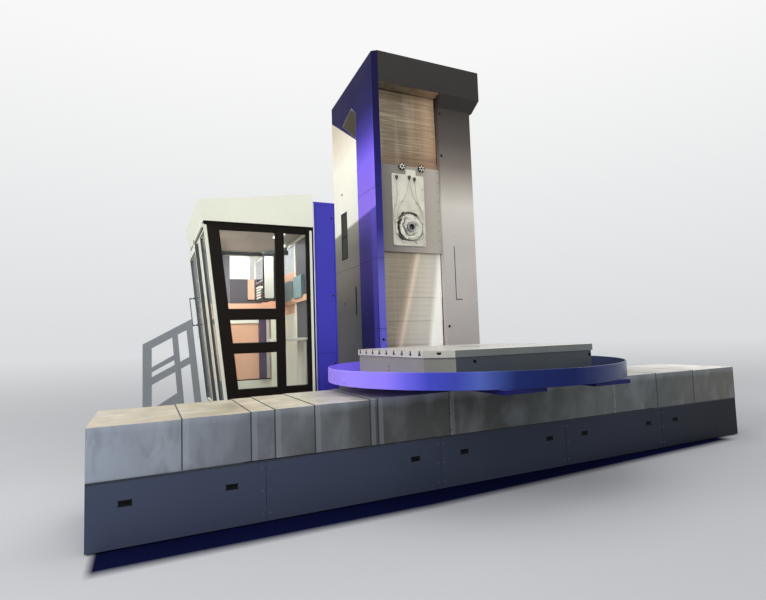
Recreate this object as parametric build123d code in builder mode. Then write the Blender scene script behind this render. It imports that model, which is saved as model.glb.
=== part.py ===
from build123d import *
import os
from math import hypot

# Horizontal boring mill: a cross bed along X carries a rotary table, and a column bed
# along Y carries the column with its headstock and horizontal spindle.
# Millimetres, +Z up. The origin is on the floor under the middle of the cross bed.

# Beds: both castings share one section
bed_length = 7760
bed_half = 557
panel_sheet = 4
panel_top = 504
panel_bottom = 12
pad_height = 60
pad_radius = 90
pad_pitch = 930
way_top = 800
way_outer = 520
way_inner = 240
way_thickness = 60
neck_inset = 30
channel_floor = 600
rib_pitch = 620
pocket_depth = 40
column_bed_x = 400
column_bed_end = 5225
screw_radius = 32
screw_z = 700
screw_clearance = 1
end_lug = 120
rib_margin = 140
pocket_foot = 80
pocket_head = 40
bed_gap = 15
pad_inset = 110
pad_chamfer = 12
panel_seam = 3
panel_joints = (-2572, -873, 750, 2343)
pull_slots = (-3618, -2848, -1155, -597, 518, 1036, 2109, 2605)
pull_slot_z = 330
pull_slot_length = 92
pull_slot_height = 26

# Telescopic way covers: each section is one level smaller than the one it slides in
cover_half = 575
cover_top = 938
cover_sheet = 4.5
cover_gap = 0.5
cover_skirt = 512
cover_start_gap = 5
cover_lap = 30
seat_gap = 0.3
cover_collar = 22
collar_gap = 8
saddle_cover_left = -762
saddle_cover_right = 1540
left_visible = (779, 76, 527, 349, 199, 534, 654)
left_share = (0, 0.027, 0.198, 0.165, 0.09, 0.24, 0.28)
right_visible = (747, 720, 873)
right_share = (0.254, 0.35, 0.396)
table_travel_left = 1900
table_travel_right = 1600

# Drive units on the two slides
nut_radius = 75
motor_half = 80
motor_flange = 12
motor_round = 18
motor_across = 130
motor_up = 115
housing_depth = 90
motor_length = 300
encoder_radius = 62
encoder_length = 40

# Table saddle, rotary table and guard ring
table_x = -96
saddle_length = 1400
saddle_half = 545
keeper_depth = 26
keeper_gap = 2
nut_rib_half = 150
nut_rib_depth = 160
shoulder_radius = 640
pedestal_radius = 600
shoulder_z = 1029
bearing_outer = 590
bearing_inner = 490
bearing_z = 1060
bearing_height = 40
ring_radius = 1629
ring_wall = 8
ring_top = 1185
ring_lip = 9
bracket_width = 450
bracket_centre = 510
bracket_reach = 1530
bracket_drop = 40
bracket_gap = 40
table_length = 2130
table_width = 2005
table_corner = 213
table_top = 1355
table_rim = 65
table_inset = 12
slot_pitch = 180
slot_count = 9
slot_width = 28
slot_head_width = 50
slot_depth = 48
slot_head = 20
table_bore = 100
table_bore_depth = 120
table_hub = 480
table_hub_depth = 30

# Column and its covers
spindle_x = 180
spindle_z = 3154
column_half = 576
column_side = -400
column_front = 1738
column_corner_x = -315
column_corner_y = 1790
column_back = 3590
column_sheet = 4
column_foot_z = 1010
column_top = 5340
column_wall_back = 3380
cavity_half = 400
throat_half = 330
throat_depth = 90
cavity_bottom = 1100
cavity_top = 5000
column_saddle_front = 1790
column_saddle_back = 3540
slab_bottom = 945
column_travel_front = 50
blue_strip_back = 2471
blue_strip_drop = 656
hood_back_rise = 62
cap_seat = 15
cap_rise_front = 480
cap_rise_back = 335
cap_right = 1524
cap_sheet = 6
bevel_drop = 213
bevel_front = 65
bevel_side = 112
right_cover_right = 1364
right_cover_front = 1803
right_cover_return = 187
deck_margin = 20
vent = ((2645, -44), (3083, -193), (2470, -640), (2458, -210))
window_round = 20
casting_back_gap = 10
slab_inset = 20
window_y = 3110
window_width = 250
window_bottom = 2850
window_top = 3630
grip_x = 956
grip_top = 2899
grip_bottom = 2051
grip_foot = 126
grip_width = 14

# Slatted covers above and below the headstock
slat_front = 1903
slat_sheet = 3
slat_lip = 3
slat_gap = 0.5
slat_levels = 4
slat_left = -308
slat_right = 752
upper_length = 590
upper_slats = 8
lower_length = 689
lower_slats = 9
carrier_height = 90
carrier_proud = 8

# Headstock and spindle
head_bottom = 2779
head_top = 4128
head_front = 1853
head_neck_half = 328
head_keeper_half = 385
head_keeper_depth = 60
head_back = 2900
face_half = 278
face_bottom = 2874
face_drop = 143
face_tab_left = 146
face_corner = 24
face_tab_right = 321
face_tab_drop = 60
face_thickness = 20
nose_radius = 200
nose_front = 1783
nose_hole = 206
nose_bolt_circle = 160
nose_bolt_radius = 9
nose_bolts = 6
nose_bolt_depth = 40
nose_chamfer = 5
sleeve_radius = 120
sleeve_back = 2980
spindle_radius = 65
spindle_front = 1760
spindle_back = 3290
running_gap = 0.05
taper_mouth = 34.9
taper_end = 20
taper_depth = 102
knob_x = (74, 416)
knob_drop = 26
knob_radius = 58
knob_lobes = 6
knob_lobe = 17
knob_shank = 16
knob_depth = 46
y_screw_x = -80
y_screw_y = 3090
y_screw_radius = 30
nut_bracket_half = 110
nut_bottom = 3280
nut_top = 3480
main_motor_x = 300
main_motor_z = 3720
main_motor_radius = 175
main_motor_round = 20
main_motor_flange = 40
main_motor_length = 430

# Operator's cab
cab_face = 1780
cab_back = 3780
cab_floor = 500
cab_head = 3043
cab_right = -1400
cab_foot = -2557
cab_lean = 269
cab_wall = 30
stile = 145
mid_stile = (-1901, -1799)
front_frame = 60
right_pane = -1474
side_window = (1850, 2300)
side_window_bottom = 100
side_window_top = 2430
right_window = (2450, 3650)
rear_window = (-2216, -1819, 2549, 2928)
lining_top = 2540
lining_sheet = 8
grab_bottom = 2047
grab_top = 2130
grab_depth = 45
sill_top = 880
lower_rail = (1357, 1470)
upper_rail = (1789, 1912)
lintel_depth = 86
glass = 8
roof_left_top = 3308
roof_right_top = 3509
roof_left = -2892
roof_right = -1389
roof_front = 1740
roof_back = 3800
roof_sheet = 5
door_opening = (2650, 3650)
door_head = 2340
door_sill = 60
door_margin = 25
door_thickness = 40
door_gap = 6
door_stile = 110
door_pull_up = 1510
door_pull_width = 14
door_pull_height = 440
door_pull_depth = 80
door_rail = 45
door_rail_depth = 30
hanger_width = 60
hanger_sheet = 8
door_travel = 800
landing_edge = -3140
step_run = 280
step_count = 2
stair_front = 2750
rail_sheet = 30
deck_thickness = 50
leg_inset = 60
leg_size = 90
leg_foot = 150
leg_plate = 12
tread_thickness = 30
near_railing = (
    ((-3524, 150), (-3524, 1502), (-3410, 1562), (-3410, 150)),
    ((-3524, 1387), (-3524, 1505), (-2893, 1845), (-2880, 1732)),
    ((-3430, 938), (-3430, 1042), (-2920, 1314), (-2905, 1218)),
    ((-2843, 470), (-2975, 1800), (-2893, 1845), (-2749, 470)),
)
far_railing = (
    ((-3017, 470), (-3110, 1620), (-3027, 1640), (-2929, 470)),
    ((-3401, 1071), (-3401, 1147), (-3083, 1325), (-3071, 1248)),
    ((-3441, 300), (-3441, 1125), (-3401, 1147), (-3401, 300)),
    ((-3401, 507), (-3012, 741), (-3012, 470), (-3140, 470), (-3401, 300)),
)
tower_left = -1361
tower_right = -1051
tower_front = 1790
tower_back = 2390
tower_bracket = 100
tower_brackets = (860, 2600)
tower_top = 3420
pendant_box = ((-1930, 2500, 2100), (-1750, 3050, 2760))
pendant_pivot_x = -1520
pendant_pivot_y = 2775
pendant_arm_z = 2850
pendant_arm_depth = 60
pendant_hanger = 45
pendant_shaft = 25
pendant_bush = 50
pendant_bush_depth = 80
pendant_round = 20
stop_y = 2580
stop_z = 2160
stop_radius = 22
stop_stem = 8
stop_cap = 14
stop_round = 4.5
stop_depth = 20
stop_travel = 6

# Values worked out from the sizes above
end_x = bed_length / 2
foot_half = bed_half - panel_sheet
shoulder = panel_top - panel_sheet
neck_half = way_outer - neck_inset
cover_step = cover_sheet + cover_gap
cover_end = end_x - panel_sheet + seat_gap + cover_sheet
saddle_left = table_x - saddle_length / 2
saddle_right = table_x + saddle_length / 2
saddle_deck = cover_top - cover_sheet - seat_gap
table_bottom = bearing_z + bearing_height
casting_left = spindle_x - column_half
casting_right = spindle_x + column_half
column_cover_foot = column_foot_z + seat_gap
casting_back = column_back - column_sheet - seat_gap - casting_back_gap
face_top = head_top - face_drop
face_tab_top = head_top - face_tab_drop
knob_z = head_top - knob_drop
cap_bottom = column_top + cap_seat
cap_top_front = cap_bottom + cap_rise_front
cap_top_back = cap_bottom + cap_rise_back
blue_strip_top = cap_bottom - blue_strip_drop
hood_back_z = cap_bottom + hood_back_rise
lintel = cab_head - lintel_depth
slat_pitch = slat_sheet + slat_lip + slat_gap
column_face = slat_front + slat_levels * slat_pitch
upper_visible = (column_top - head_top - upper_length) / (slat_levels - 1)
lower_visible = (head_bottom - column_foot_z - lower_length) / (slat_levels - 1)

os.makedirs("parts", exist_ok=True)


# Planes whose local x runs across a bed and local y is up, looking along the bed
def across_x(x):
    return Plane(origin=(x, 0, 0), x_dir=(0, 1, 0), z_dir=(1, 0, 0))


def across_y(y):
    return Plane(origin=(column_bed_x, y, 0), x_dir=(-1, 0, 0), z_dir=(0, 1, 0))


def block(low, high, mode=Mode.ADD):
    size = [high[i] - low[i] for i in range(3)]
    middle = [(high[i] + low[i]) / 2 for i in range(3)]
    with Locations(tuple(middle)):
        Box(*size, mode=mode)


# Bed casting: foot, body, two box ways with undercuts for the keepers, screw channel
def bed_section(plane):
    with BuildSketch(plane) as section:
        with BuildLine():
            Polyline(
                (0, pad_height),
                (foot_half, pad_height),
                (foot_half, shoulder),
                (neck_half, shoulder),
                (neck_half, way_top - way_thickness),
                (way_outer, way_top - way_thickness),
                (way_outer, way_top),
                (way_inner, way_top),
                (way_inner, way_top - way_thickness),
                (way_inner + neck_inset, way_top - way_thickness),
                (way_inner + neck_inset, channel_floor),
                (0, channel_floor),
            )
            mirror(about=Plane.YZ)
        make_face()
    return section.sketch


pocket_width = rib_pitch - rib_margin
pocket_bottom = pad_height + pocket_foot
pocket_height = shoulder - pocket_head - pocket_bottom
lug_top = way_top - way_thickness

with BuildPart() as x_bed:
    casting_end = end_x - panel_sheet
    extrude(bed_section(across_x(-casting_end)), amount=2 * casting_end)
    pocket_count = int(2 * casting_end / rib_pitch)
    for side in (-1, 1):
        with BuildSketch(Plane.XZ.offset(-side * foot_half)):
            with Locations((0, pocket_bottom + pocket_height / 2)):
                with GridLocations(rib_pitch, 0, pocket_count, 1):
                    Rectangle(pocket_width, pocket_height)
        extrude(amount=side * pocket_depth, mode=Mode.SUBTRACT)
    for end in (-1, 1):
        inner = end * (casting_end - end_lug)
        outer = end * casting_end
        block(
            (min(inner, outer), -way_inner - neck_inset, channel_floor),
            (max(inner, outer), way_inner + neck_inset, lug_top),
        )
x_bed.part.label = "x_bed"
export_step(x_bed.part, "parts/x_bed.step")

# The column bed bolts to the back of the cross bed, clear of the cross covers above it
column_bed_start = cover_half + bed_gap
column_bed_length = column_bed_end - panel_sheet - foot_half

with BuildPart() as z_bed:
    extrude(bed_section(across_y(foot_half)), amount=column_bed_length)
    block(
        (column_bed_x - way_outer, foot_half, shoulder),
        (column_bed_x + way_outer, column_bed_start, way_top),
        Mode.SUBTRACT,
    )
    pocket_count = int(column_bed_length / rib_pitch)
    for side in (-1, 1):
        face = Plane.YZ.offset(column_bed_x + side * foot_half)
        with BuildSketch(face):
            with Locations((foot_half + column_bed_length / 2, pocket_bottom + pocket_height / 2)):
                with GridLocations(rib_pitch, 0, pocket_count, 1):
                    Rectangle(pocket_width, pocket_height)
        extrude(amount=-side * pocket_depth, mode=Mode.SUBTRACT)
    for inner, outer in (
        (column_bed_start, column_bed_start + end_lug),
        (column_bed_end - panel_sheet - end_lug, column_bed_end - panel_sheet),
    ):
        block(
            (column_bed_x - way_inner - neck_inset, inner, channel_floor),
            (column_bed_x + way_inner + neck_inset, outer, lug_top),
        )
z_bed.part.label = "z_bed"
export_step(z_bed.part, "parts/z_bed.step")

with BuildPart() as levelling_pads:
    pad_columns = 2 * int(bed_length / pad_pitch / 2) + 1
    bed_middle = (foot_half + column_bed_end) / 2
    pad_rows = int((column_bed_end - foot_half) / pad_pitch)
    with BuildSketch(Plane.XY):
        with GridLocations(pad_pitch, foot_half - pad_inset, pad_columns, 3):
            Circle(pad_radius)
        with Locations((column_bed_x, bed_middle + pad_radius)):
            with GridLocations(2 * (foot_half - pad_inset), pad_pitch, 2, pad_rows):
                Circle(pad_radius)
    extrude(amount=pad_height)
    chamfer(levelling_pads.edges().group_by(Axis.Z)[0], pad_chamfer)
levelling_pads.part.label = "levelling_pads"
export_step(levelling_pads.part, "parts/levelling_pads.step")


# One dark sheet panel, as wide as its two ends, on the bed's side or end
def side_panel(start, stop, y, outward):
    low_y = min(y, y + outward * panel_sheet)
    block((start, low_y, panel_bottom), (stop, low_y + panel_sheet, panel_top))


def column_bed_panel(start, stop, x, outward):
    low_x = min(x, x + outward * panel_sheet)
    block((low_x, start, panel_bottom), (low_x + panel_sheet, stop, panel_top))


with BuildPart() as bed_panels:
    front_stops = (-end_x,) + panel_joints + (end_x,)
    for start, stop in zip(front_stops, front_stops[1:]):
        side_panel(start + panel_seam / 2, stop - panel_seam / 2, -foot_half, -1)
    with BuildSketch(Plane.XZ.offset(foot_half)):
        with Locations(*[(x, pull_slot_z) for x in pull_slots]):
            Rectangle(pull_slot_length, pull_slot_height)
    extrude(amount=panel_sheet, mode=Mode.SUBTRACT)
    left_edge = column_bed_x - bed_half
    right_edge = column_bed_x + bed_half
    for start, stop in (
        (-end_x, panel_joints[0]),
        (panel_joints[0], left_edge),
        (right_edge, panel_joints[3]),
        (panel_joints[3], end_x),
    ):
        side_panel(start + panel_seam / 2, stop - panel_seam / 2, foot_half, 1)
    for side in (-1, 1):
        column_bed_panel(
            -foot_half + panel_seam / 2,
            foot_half - panel_seam / 2,
            side * (end_x - panel_sheet),
            side,
        )
    middle = (bed_half + column_bed_end) / 2
    for side in (-1, 1):
        for start, stop in ((bed_half, middle), (middle, column_bed_end)):
            column_bed_panel(
                start + panel_seam / 2,
                stop - panel_seam / 2,
                column_bed_x + side * foot_half,
                side,
            )
    side_panel(
        column_bed_x - foot_half + panel_seam / 2,
        column_bed_x + foot_half - panel_seam / 2,
        column_bed_end - panel_sheet,
        1,
    )
bed_panels.part.label = "bed_panels"
export_step(bed_panels.part, "parts/bed_panels.step")

with BuildPart() as feed_screws:
    with BuildSketch(across_x(-end_x + panel_sheet + end_lug)):
        with Locations((0, screw_z)):
            Circle(screw_radius)
    extrude(amount=2 * (end_x - panel_sheet - end_lug))
    with BuildSketch(across_y(column_bed_start + end_lug)):
        with Locations((0, screw_z)):
            Circle(screw_radius)
    extrude(amount=column_bed_end - panel_sheet - column_bed_start - 2 * end_lug)
feed_screws.part.label = "feed_screws"
export_step(feed_screws.part, "parts/feed_screws.step")


# A tunnel-shaped cover section: its plane stands at one end, and it runs along the normal
def tunnel(plane, level, length, skirt=cover_skirt, end_wall=None):
    half = cover_half - level * cover_step
    top = cover_top - level * cover_step
    with BuildPart() as section:
        with BuildSketch(plane):
            with BuildLine():
                Polyline(
                    (half, skirt),
                    (half, top),
                    (-half, top),
                    (-half, skirt),
                    (-half + cover_sheet, skirt),
                    (-half + cover_sheet, top - cover_sheet),
                    (half - cover_sheet, top - cover_sheet),
                    (half - cover_sheet, skirt),
                    (half, skirt),
                )
            make_face()
        extrude(amount=length)
        if end_wall is not None:
            with BuildSketch(plane.offset(end_wall)):
                with Locations((0, (skirt + top) / 2)):
                    Rectangle(2 * half, top - skirt)
            extrude(amount=cover_sheet)
    return section.part


# Left sections are numbered outwards from the saddle; the last is fixed to the bed's end
seam = saddle_cover_left
for number, visible in enumerate(left_visible, start=1):
    seam = seam - visible
    is_last = number == len(left_visible)
    growth = left_share[number - 1] * table_travel_right
    lap = cover_collar if number == 1 else cover_lap
    right_end = seam + visible + growth + lap
    left_end = -cover_end if is_last else seam
    with BuildPart() as x_cover_left:
        add(
            tunnel(
                across_x(left_end),
                number,
                right_end - left_end,
                skirt=panel_top + seat_gap if is_last else cover_skirt,
                end_wall=0 if is_last else None,
            )
        )
    x_cover_left.part.label = f"x_cover_left_{number}"
    export_step(x_cover_left.part, f"parts/x_cover_left_{number}.step")

seam = saddle_cover_right
for number, visible in enumerate(right_visible, start=1):
    seam = seam + visible
    is_last = number == len(right_visible)
    growth = right_share[number - 1] * table_travel_left
    left_end = seam - visible - growth - cover_lap
    right_end = cover_end if is_last else seam
    with BuildPart() as x_cover_right:
        add(
            tunnel(
                across_x(left_end),
                number,
                right_end - left_end,
                skirt=panel_top + seat_gap if is_last else cover_skirt,
                end_wall=right_end - left_end - cover_sheet if is_last else None,
            )
        )
    x_cover_right.part.label = f"x_cover_right_{number}"
    export_step(x_cover_right.part, f"parts/x_cover_right_{number}.step")

# Column bed covers: two in front of the column, three behind it
front_fixed_level = 4
front_slide_level = front_fixed_level - 1

with BuildPart() as z_cover_front_1:
    front_start = cover_half + cover_start_gap
    front_stop = column_saddle_front - column_travel_front - cover_lap / 2
    add(
        tunnel(
            across_y(front_start), front_fixed_level, front_stop - front_start, panel_top + seat_gap
        )
    )
z_cover_front_1.part.label = "z_cover_front_1"
export_step(z_cover_front_1.part, "parts/z_cover_front_1.step")

with BuildPart() as z_cover_front_2:
    front_start = cover_half + bed_gap + column_travel_front
    add(
        tunnel(
            across_y(front_start),
            front_slide_level,
            column_saddle_front + cover_collar - front_start,
        )
    )
z_cover_front_2.part.label = "z_cover_front_2"
export_step(z_cover_front_2.part, "parts/z_cover_front_2.step")

rear_attached = 600
rear_visible = 555
rear_share = 0.5
rear_slide_level = 2
rear_middle_level = rear_slide_level + 1
rear_fixed_level = rear_middle_level + 1
rear_seam_1 = column_saddle_back + rear_attached
rear_seam_2 = rear_seam_1 + rear_visible

with BuildPart() as z_cover_rear_1:
    add(tunnel(across_y(column_saddle_back - cover_collar), rear_slide_level, rear_attached + cover_collar))
z_cover_rear_1.part.label = "z_cover_rear_1"
export_step(z_cover_rear_1.part, "parts/z_cover_rear_1.step")

with BuildPart() as z_cover_rear_2:
    start = rear_seam_1 - rear_share * column_travel_front - cover_lap
    add(tunnel(across_y(start), rear_middle_level, rear_seam_2 - start))
z_cover_rear_2.part.label = "z_cover_rear_2"
export_step(z_cover_rear_2.part, "parts/z_cover_rear_2.step")

with BuildPart() as z_cover_rear_3:
    start = rear_seam_2 - rear_share * column_travel_front - cover_lap
    stop = column_bed_end - panel_sheet + seat_gap + cover_sheet
    add(
        tunnel(
            across_y(start),
            rear_fixed_level,
            stop - start,
            skirt=panel_top + seat_gap,
            end_wall=stop - start - cover_sheet,
        )
    )
z_cover_rear_3.part.label = "z_cover_rear_3"
export_step(z_cover_rear_3.part, "parts/z_cover_rear_3.step")


# Slide section that sits on the ways and hooks under them, with a rib for the drive nut
def slide_section(plane, top):
    with BuildSketch(plane) as section:
        with BuildLine():
            Polyline(
                (0, way_top - nut_rib_depth),
                (nut_rib_half, way_top - nut_rib_depth),
                (nut_rib_half, way_top),
                (way_outer + keeper_gap, way_top),
                (way_outer + keeper_gap, way_top - way_thickness - keeper_gap),
                (neck_half + keeper_gap, way_top - way_thickness - keeper_gap),
                (neck_half + keeper_gap, way_top - way_thickness - keeper_gap - keeper_depth),
                (saddle_half, way_top - way_thickness - keeper_gap - keeper_depth),
                (saddle_half, top),
                (0, top),
            )
            mirror(about=Plane.YZ)
        make_face()
    return section.sketch


def screw_passage(plane):
    with BuildSketch(plane) as passage:
        with Locations((0, screw_z)):
            Circle(screw_radius + screw_clearance)
    return passage.sketch


with BuildPart() as saddle:
    collar_start = saddle_cover_left + cover_collar
    collar_top = saddle_deck - cover_step
    collar_plane = across_x(saddle_left)
    extrude(slide_section(collar_plane, collar_top), amount=collar_start - saddle_left)
    extrude(slide_section(across_x(collar_start), saddle_deck), amount=saddle_right - collar_start)
    extrude(screw_passage(collar_plane), amount=saddle_length, mode=Mode.SUBTRACT)
    with BuildSketch(Plane.XY.offset(saddle_deck)):
        with Locations((table_x, 0)):
            Circle(shoulder_radius)
    extrude(amount=shoulder_z - saddle_deck)
    with BuildSketch(Plane.XY.offset(shoulder_z)):
        with Locations((table_x, 0)):
            Circle(pedestal_radius)
    extrude(amount=bearing_z - shoulder_z)
saddle.part.label = "saddle"
export_step(saddle.part, "parts/saddle.step")

with BuildPart() as saddle_cover:
    add(tunnel(across_x(saddle_cover_left), 0, saddle_cover_right - saddle_cover_left))
    with BuildSketch(Plane.XY.offset(cover_top - 2 * cover_sheet)):
        with Locations((table_x, 0)):
            Circle(shoulder_radius + cover_gap)
    extrude(amount=4 * cover_sheet, mode=Mode.SUBTRACT)
saddle_cover.part.label = "saddle_cover"
export_step(saddle_cover.part, "parts/saddle_cover.step")

# Guard ring round the table: wall, rolled lip and floor turned as one, on four brackets
with BuildPart() as ring_guard:
    inner_wall = ring_radius - ring_wall
    with BuildSketch(Plane(origin=(table_x, 0, 0), x_dir=(1, 0, 0), z_dir=(0, -1, 0))):
        with BuildLine():
            Polyline(
                (pedestal_radius + cover_gap, shoulder_z),
                (ring_radius, shoulder_z),
                (ring_radius, ring_top - ring_lip),
            )
            RadiusArc(
                (ring_radius, ring_top - ring_lip),
                (inner_wall - ring_lip / 2, ring_top - ring_lip / 2),
                -ring_lip,
            )
            Polyline(
                (inner_wall - ring_lip / 2, ring_top - ring_lip / 2),
                (inner_wall, ring_top - 2 * ring_lip),
                (inner_wall, shoulder_z + ring_wall),
                (pedestal_radius + cover_gap, shoulder_z + ring_wall),
                (pedestal_radius + cover_gap, shoulder_z),
            )
        make_face()
    revolve(axis=Axis((table_x, 0, 0), (0, 0, 1)))
    bracket_start = shoulder_radius + bracket_gap
    with BuildSketch(Plane.XY.offset(shoulder_z)):
        with Locations((table_x, 0)):
            with GridLocations(2 * bracket_centre, bracket_start + bracket_reach, 2, 2):
                Rectangle(bracket_width, bracket_reach - bracket_start)
    extrude(amount=-bracket_drop)
ring_guard.part.label = "ring_guard"
export_step(ring_guard.part, "parts/ring_guard.step")

with BuildPart() as table_bearing:
    with BuildSketch(Plane.XY.offset(bearing_z)):
        with Locations((table_x, 0)):
            Circle(bearing_outer)
            Circle(bearing_inner, mode=Mode.SUBTRACT)
    extrude(amount=bearing_height)
table_bearing.part.label = "table_bearing"
export_step(table_bearing.part, "parts/table_bearing.step")

# Table plate with cut corners, a rim, T-slots along X and a centring bore
with BuildPart() as table:
    with BuildSketch(Plane.XY.offset(table_bottom)):
        with Locations((table_x, 0)):
            Rectangle(table_length - 2 * table_inset, table_width - 2 * table_inset)
        chamfer(vertices(), table_corner)
    extrude(amount=table_top - table_bottom)
    with BuildSketch(Plane.XY.offset(table_top - table_rim)):
        with Locations((table_x, 0)):
            Rectangle(table_length, table_width)
        chamfer(vertices(), table_corner)
    extrude(amount=table_rim)
    with BuildSketch(Plane.XY.offset(table_bottom)):
        with Locations((table_x, 0)):
            Circle(table_hub)
    extrude(amount=-table_hub_depth)
    with BuildSketch(across_x(table_x - table_length / 2)):
        with GridLocations(slot_pitch, 0, slot_count, 1):
            with Locations((0, table_top - slot_depth / 2)):
                Rectangle(slot_width, slot_depth)
            with Locations((0, table_top - slot_depth + slot_head / 2)):
                Rectangle(slot_head_width, slot_head)
    extrude(amount=table_length, mode=Mode.SUBTRACT)
    with Locations((table_x, 0, table_top)):
        Hole(radius=table_bore, depth=table_bore_depth)
table.part.label = "table"
export_step(table.part, "parts/table.step")


# Nut housing round a feed screw with its servo motor, seen along the screw


def drive_unit(plane):
    motor_place = (motor_across, screw_z + motor_up)
    with BuildPart() as unit:
        with BuildSketch(plane):
            with Locations((0, screw_z)):
                Circle(nut_radius)
            with Locations(motor_place):
                Circle(motor_half + motor_flange)
            make_hull()
        extrude(amount=housing_depth)
        with BuildSketch(plane.offset(housing_depth)) as motor_body:
            with Locations(motor_place):
                Rectangle(2 * motor_half, 2 * motor_half)
            fillet(motor_body.vertices(), motor_round)
        extrude(amount=motor_length)
        with BuildSketch(plane.offset(housing_depth + motor_length)):
            with Locations(motor_place):
                Circle(encoder_radius)
        extrude(amount=encoder_length)
        extrude(screw_passage(plane), amount=housing_depth, mode=Mode.SUBTRACT)
    return unit.part


with BuildPart() as x_drive:
    add(drive_unit(across_x(saddle_right)))
x_drive.part.label = "x_drive"
export_step(x_drive.part, "parts/x_drive.step")

with BuildPart() as z_drive:
    add(drive_unit(across_y(column_saddle_back)))
z_drive.part.label = "z_drive"
export_step(z_drive.part, "parts/z_drive.step")

# Column slide: hooked on the column bed, with a slab that overhangs it for the column
with BuildPart() as column_saddle:
    front_top = cover_top - front_slide_level * cover_step - cover_sheet - seat_gap
    rear_top = cover_top - rear_slide_level * cover_step - cover_sheet - seat_gap
    collar_relief = cover_collar + collar_gap
    slide_plane = across_y(column_saddle_front)
    slide_length = column_saddle_back - column_saddle_front
    extrude(slide_section(slide_plane, column_foot_z), amount=slide_length)
    block(
        (column_bed_x - saddle_half, column_saddle_front, front_top),
        (column_bed_x + saddle_half, column_saddle_front + collar_relief, slab_bottom),
        Mode.SUBTRACT,
    )
    block(
        (column_bed_x - saddle_half, column_saddle_back - collar_relief, rear_top),
        (column_bed_x + saddle_half, column_saddle_back, slab_bottom),
        Mode.SUBTRACT,
    )
    block(
        (casting_left, column_saddle_front + slab_inset, slab_bottom),
        (right_cover_right - column_sheet - seat_gap, column_saddle_back, column_foot_z),
    )
    extrude(screw_passage(slide_plane), amount=slide_length, mode=Mode.SUBTRACT)
column_saddle.part.label = "column_saddle"
export_step(column_saddle.part, "parts/column_saddle.step")

# Column casting: a tall channel with two ways in front and room for the headstock inside
with BuildPart() as column:
    block(
        (casting_left, column_face, column_foot_z),
        (casting_right, casting_back, column_top),
    )
    block(
        (spindle_x - cavity_half, column_face + throat_depth, cavity_bottom),
        (spindle_x + cavity_half, column_wall_back, cavity_top),
        Mode.SUBTRACT,
    )
    block(
        (spindle_x - throat_half, column_face, cavity_bottom),
        (spindle_x + throat_half, column_face + throat_depth, cavity_top),
        Mode.SUBTRACT,
    )
column.part.label = "column"
export_step(column.part, "parts/column.step")

with BuildPart() as y_screw:
    with BuildSketch(Plane.XY.offset(cavity_bottom)):
        with Locations((y_screw_x, y_screw_y)):
            Circle(y_screw_radius)
    extrude(amount=cavity_top - cavity_bottom)
y_screw.part.label = "y_screw"
export_step(y_screw.part, "parts/y_screw.step")


# Front cover: bevelled corner strip with a return towards the slats, hood side and vent
with BuildPart() as column_front_cover:
    corner = [
        (column_corner_x, column_front),
        (column_side, column_corner_y),
        (column_side, column_back),
    ]
    flange_end = (column_corner_x, slat_front)
    for folds, low, high in (
        ([flange_end] + corner, column_cover_foot, cap_bottom),
        (corner, cap_bottom, cap_top_front),
    ):
        with BuildSketch(Plane.XY.offset(low)):
            with BuildLine():
                Polyline(*folds)
                offset(amount=column_sheet, side=Side.RIGHT)
            make_face()
        extrude(amount=high - low)
    with BuildSketch(Plane.YZ.offset(column_side)):
        with BuildLine():
            Polyline(
                (column_front, column_cover_foot),
                (column_front, cap_top_front),
                (column_back, cap_top_back),
                (column_back, hood_back_z),
                (blue_strip_back, blue_strip_top),
                (blue_strip_back, column_cover_foot),
                (column_front, column_cover_foot),
            )
        make_face()
        with BuildLine():
            Polyline(*[(y, cap_bottom + rise) for y, rise in vent], close=True)
        make_face(mode=Mode.SUBTRACT)
    extrude(amount=column_corner_x - column_side, mode=Mode.INTERSECT)
column_front_cover.part.label = "column_front_cover"
export_step(column_front_cover.part, "parts/column_front_cover.step")

# Side cover: flat sheet under the hood's slant, with a sunk inspection window
with BuildPart() as column_side_cover:
    hood_slope = (hood_back_z - blue_strip_top) / (column_back - blue_strip_back)
    with BuildSketch(Plane.YZ.offset(column_side)):
        with BuildLine():
            Polyline(
                (blue_strip_back + panel_seam, column_cover_foot),
                (column_back, column_cover_foot),
                (column_back, hood_back_z - panel_seam),
                (blue_strip_back + panel_seam, blue_strip_top + (hood_slope - 1) * panel_seam),
                (blue_strip_back + panel_seam, column_cover_foot),
            )
        make_face()
        with Locations((window_y, (window_bottom + window_top) / 2)):
            RectangleRounded(
                window_width, window_top - window_bottom, window_round, mode=Mode.SUBTRACT
            )
    extrude(amount=column_sheet)
column_side_cover.part.label = "column_side_cover"
export_step(column_side_cover.part, "parts/column_side_cover.step")

# Right cover: a deep folded casing with a long grip slot in its front
with BuildPart() as column_right_cover:
    cover_left = casting_right + seat_gap
    cover_head = cap_bottom - bevel_drop - seat_gap
    with BuildSketch(Plane.XY.offset(column_cover_foot)):
        with BuildLine():
            Polyline(
                (cover_left, right_cover_front + right_cover_return),
                (cover_left, right_cover_front),
                (right_cover_right, right_cover_front),
                (right_cover_right, column_back),
                (cover_left, column_back),
                (cover_left, column_back - right_cover_return / 2),
            )
            offset(amount=column_sheet, side=Side.LEFT)
        make_face()
    extrude(amount=cover_head - column_cover_foot)
    with BuildSketch(Plane.XY.offset(cover_head - column_sheet)):
        with Locations(((cover_left + right_cover_right) / 2, (right_cover_front + column_back) / 2)):
            Rectangle(right_cover_right - cover_left, column_back - right_cover_front)
    extrude(amount=column_sheet)
    with BuildSketch(Plane.XZ.offset(-right_cover_front)):
        with Locations((grip_x, (grip_bottom + grip_top) / 2)):
            Rectangle(grip_width, grip_top - grip_bottom)
        with Locations((grip_x + grip_foot / 2 - grip_width / 2, grip_bottom)):
            Rectangle(grip_foot, grip_width)
    extrude(amount=-column_sheet, mode=Mode.SUBTRACT)
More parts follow.
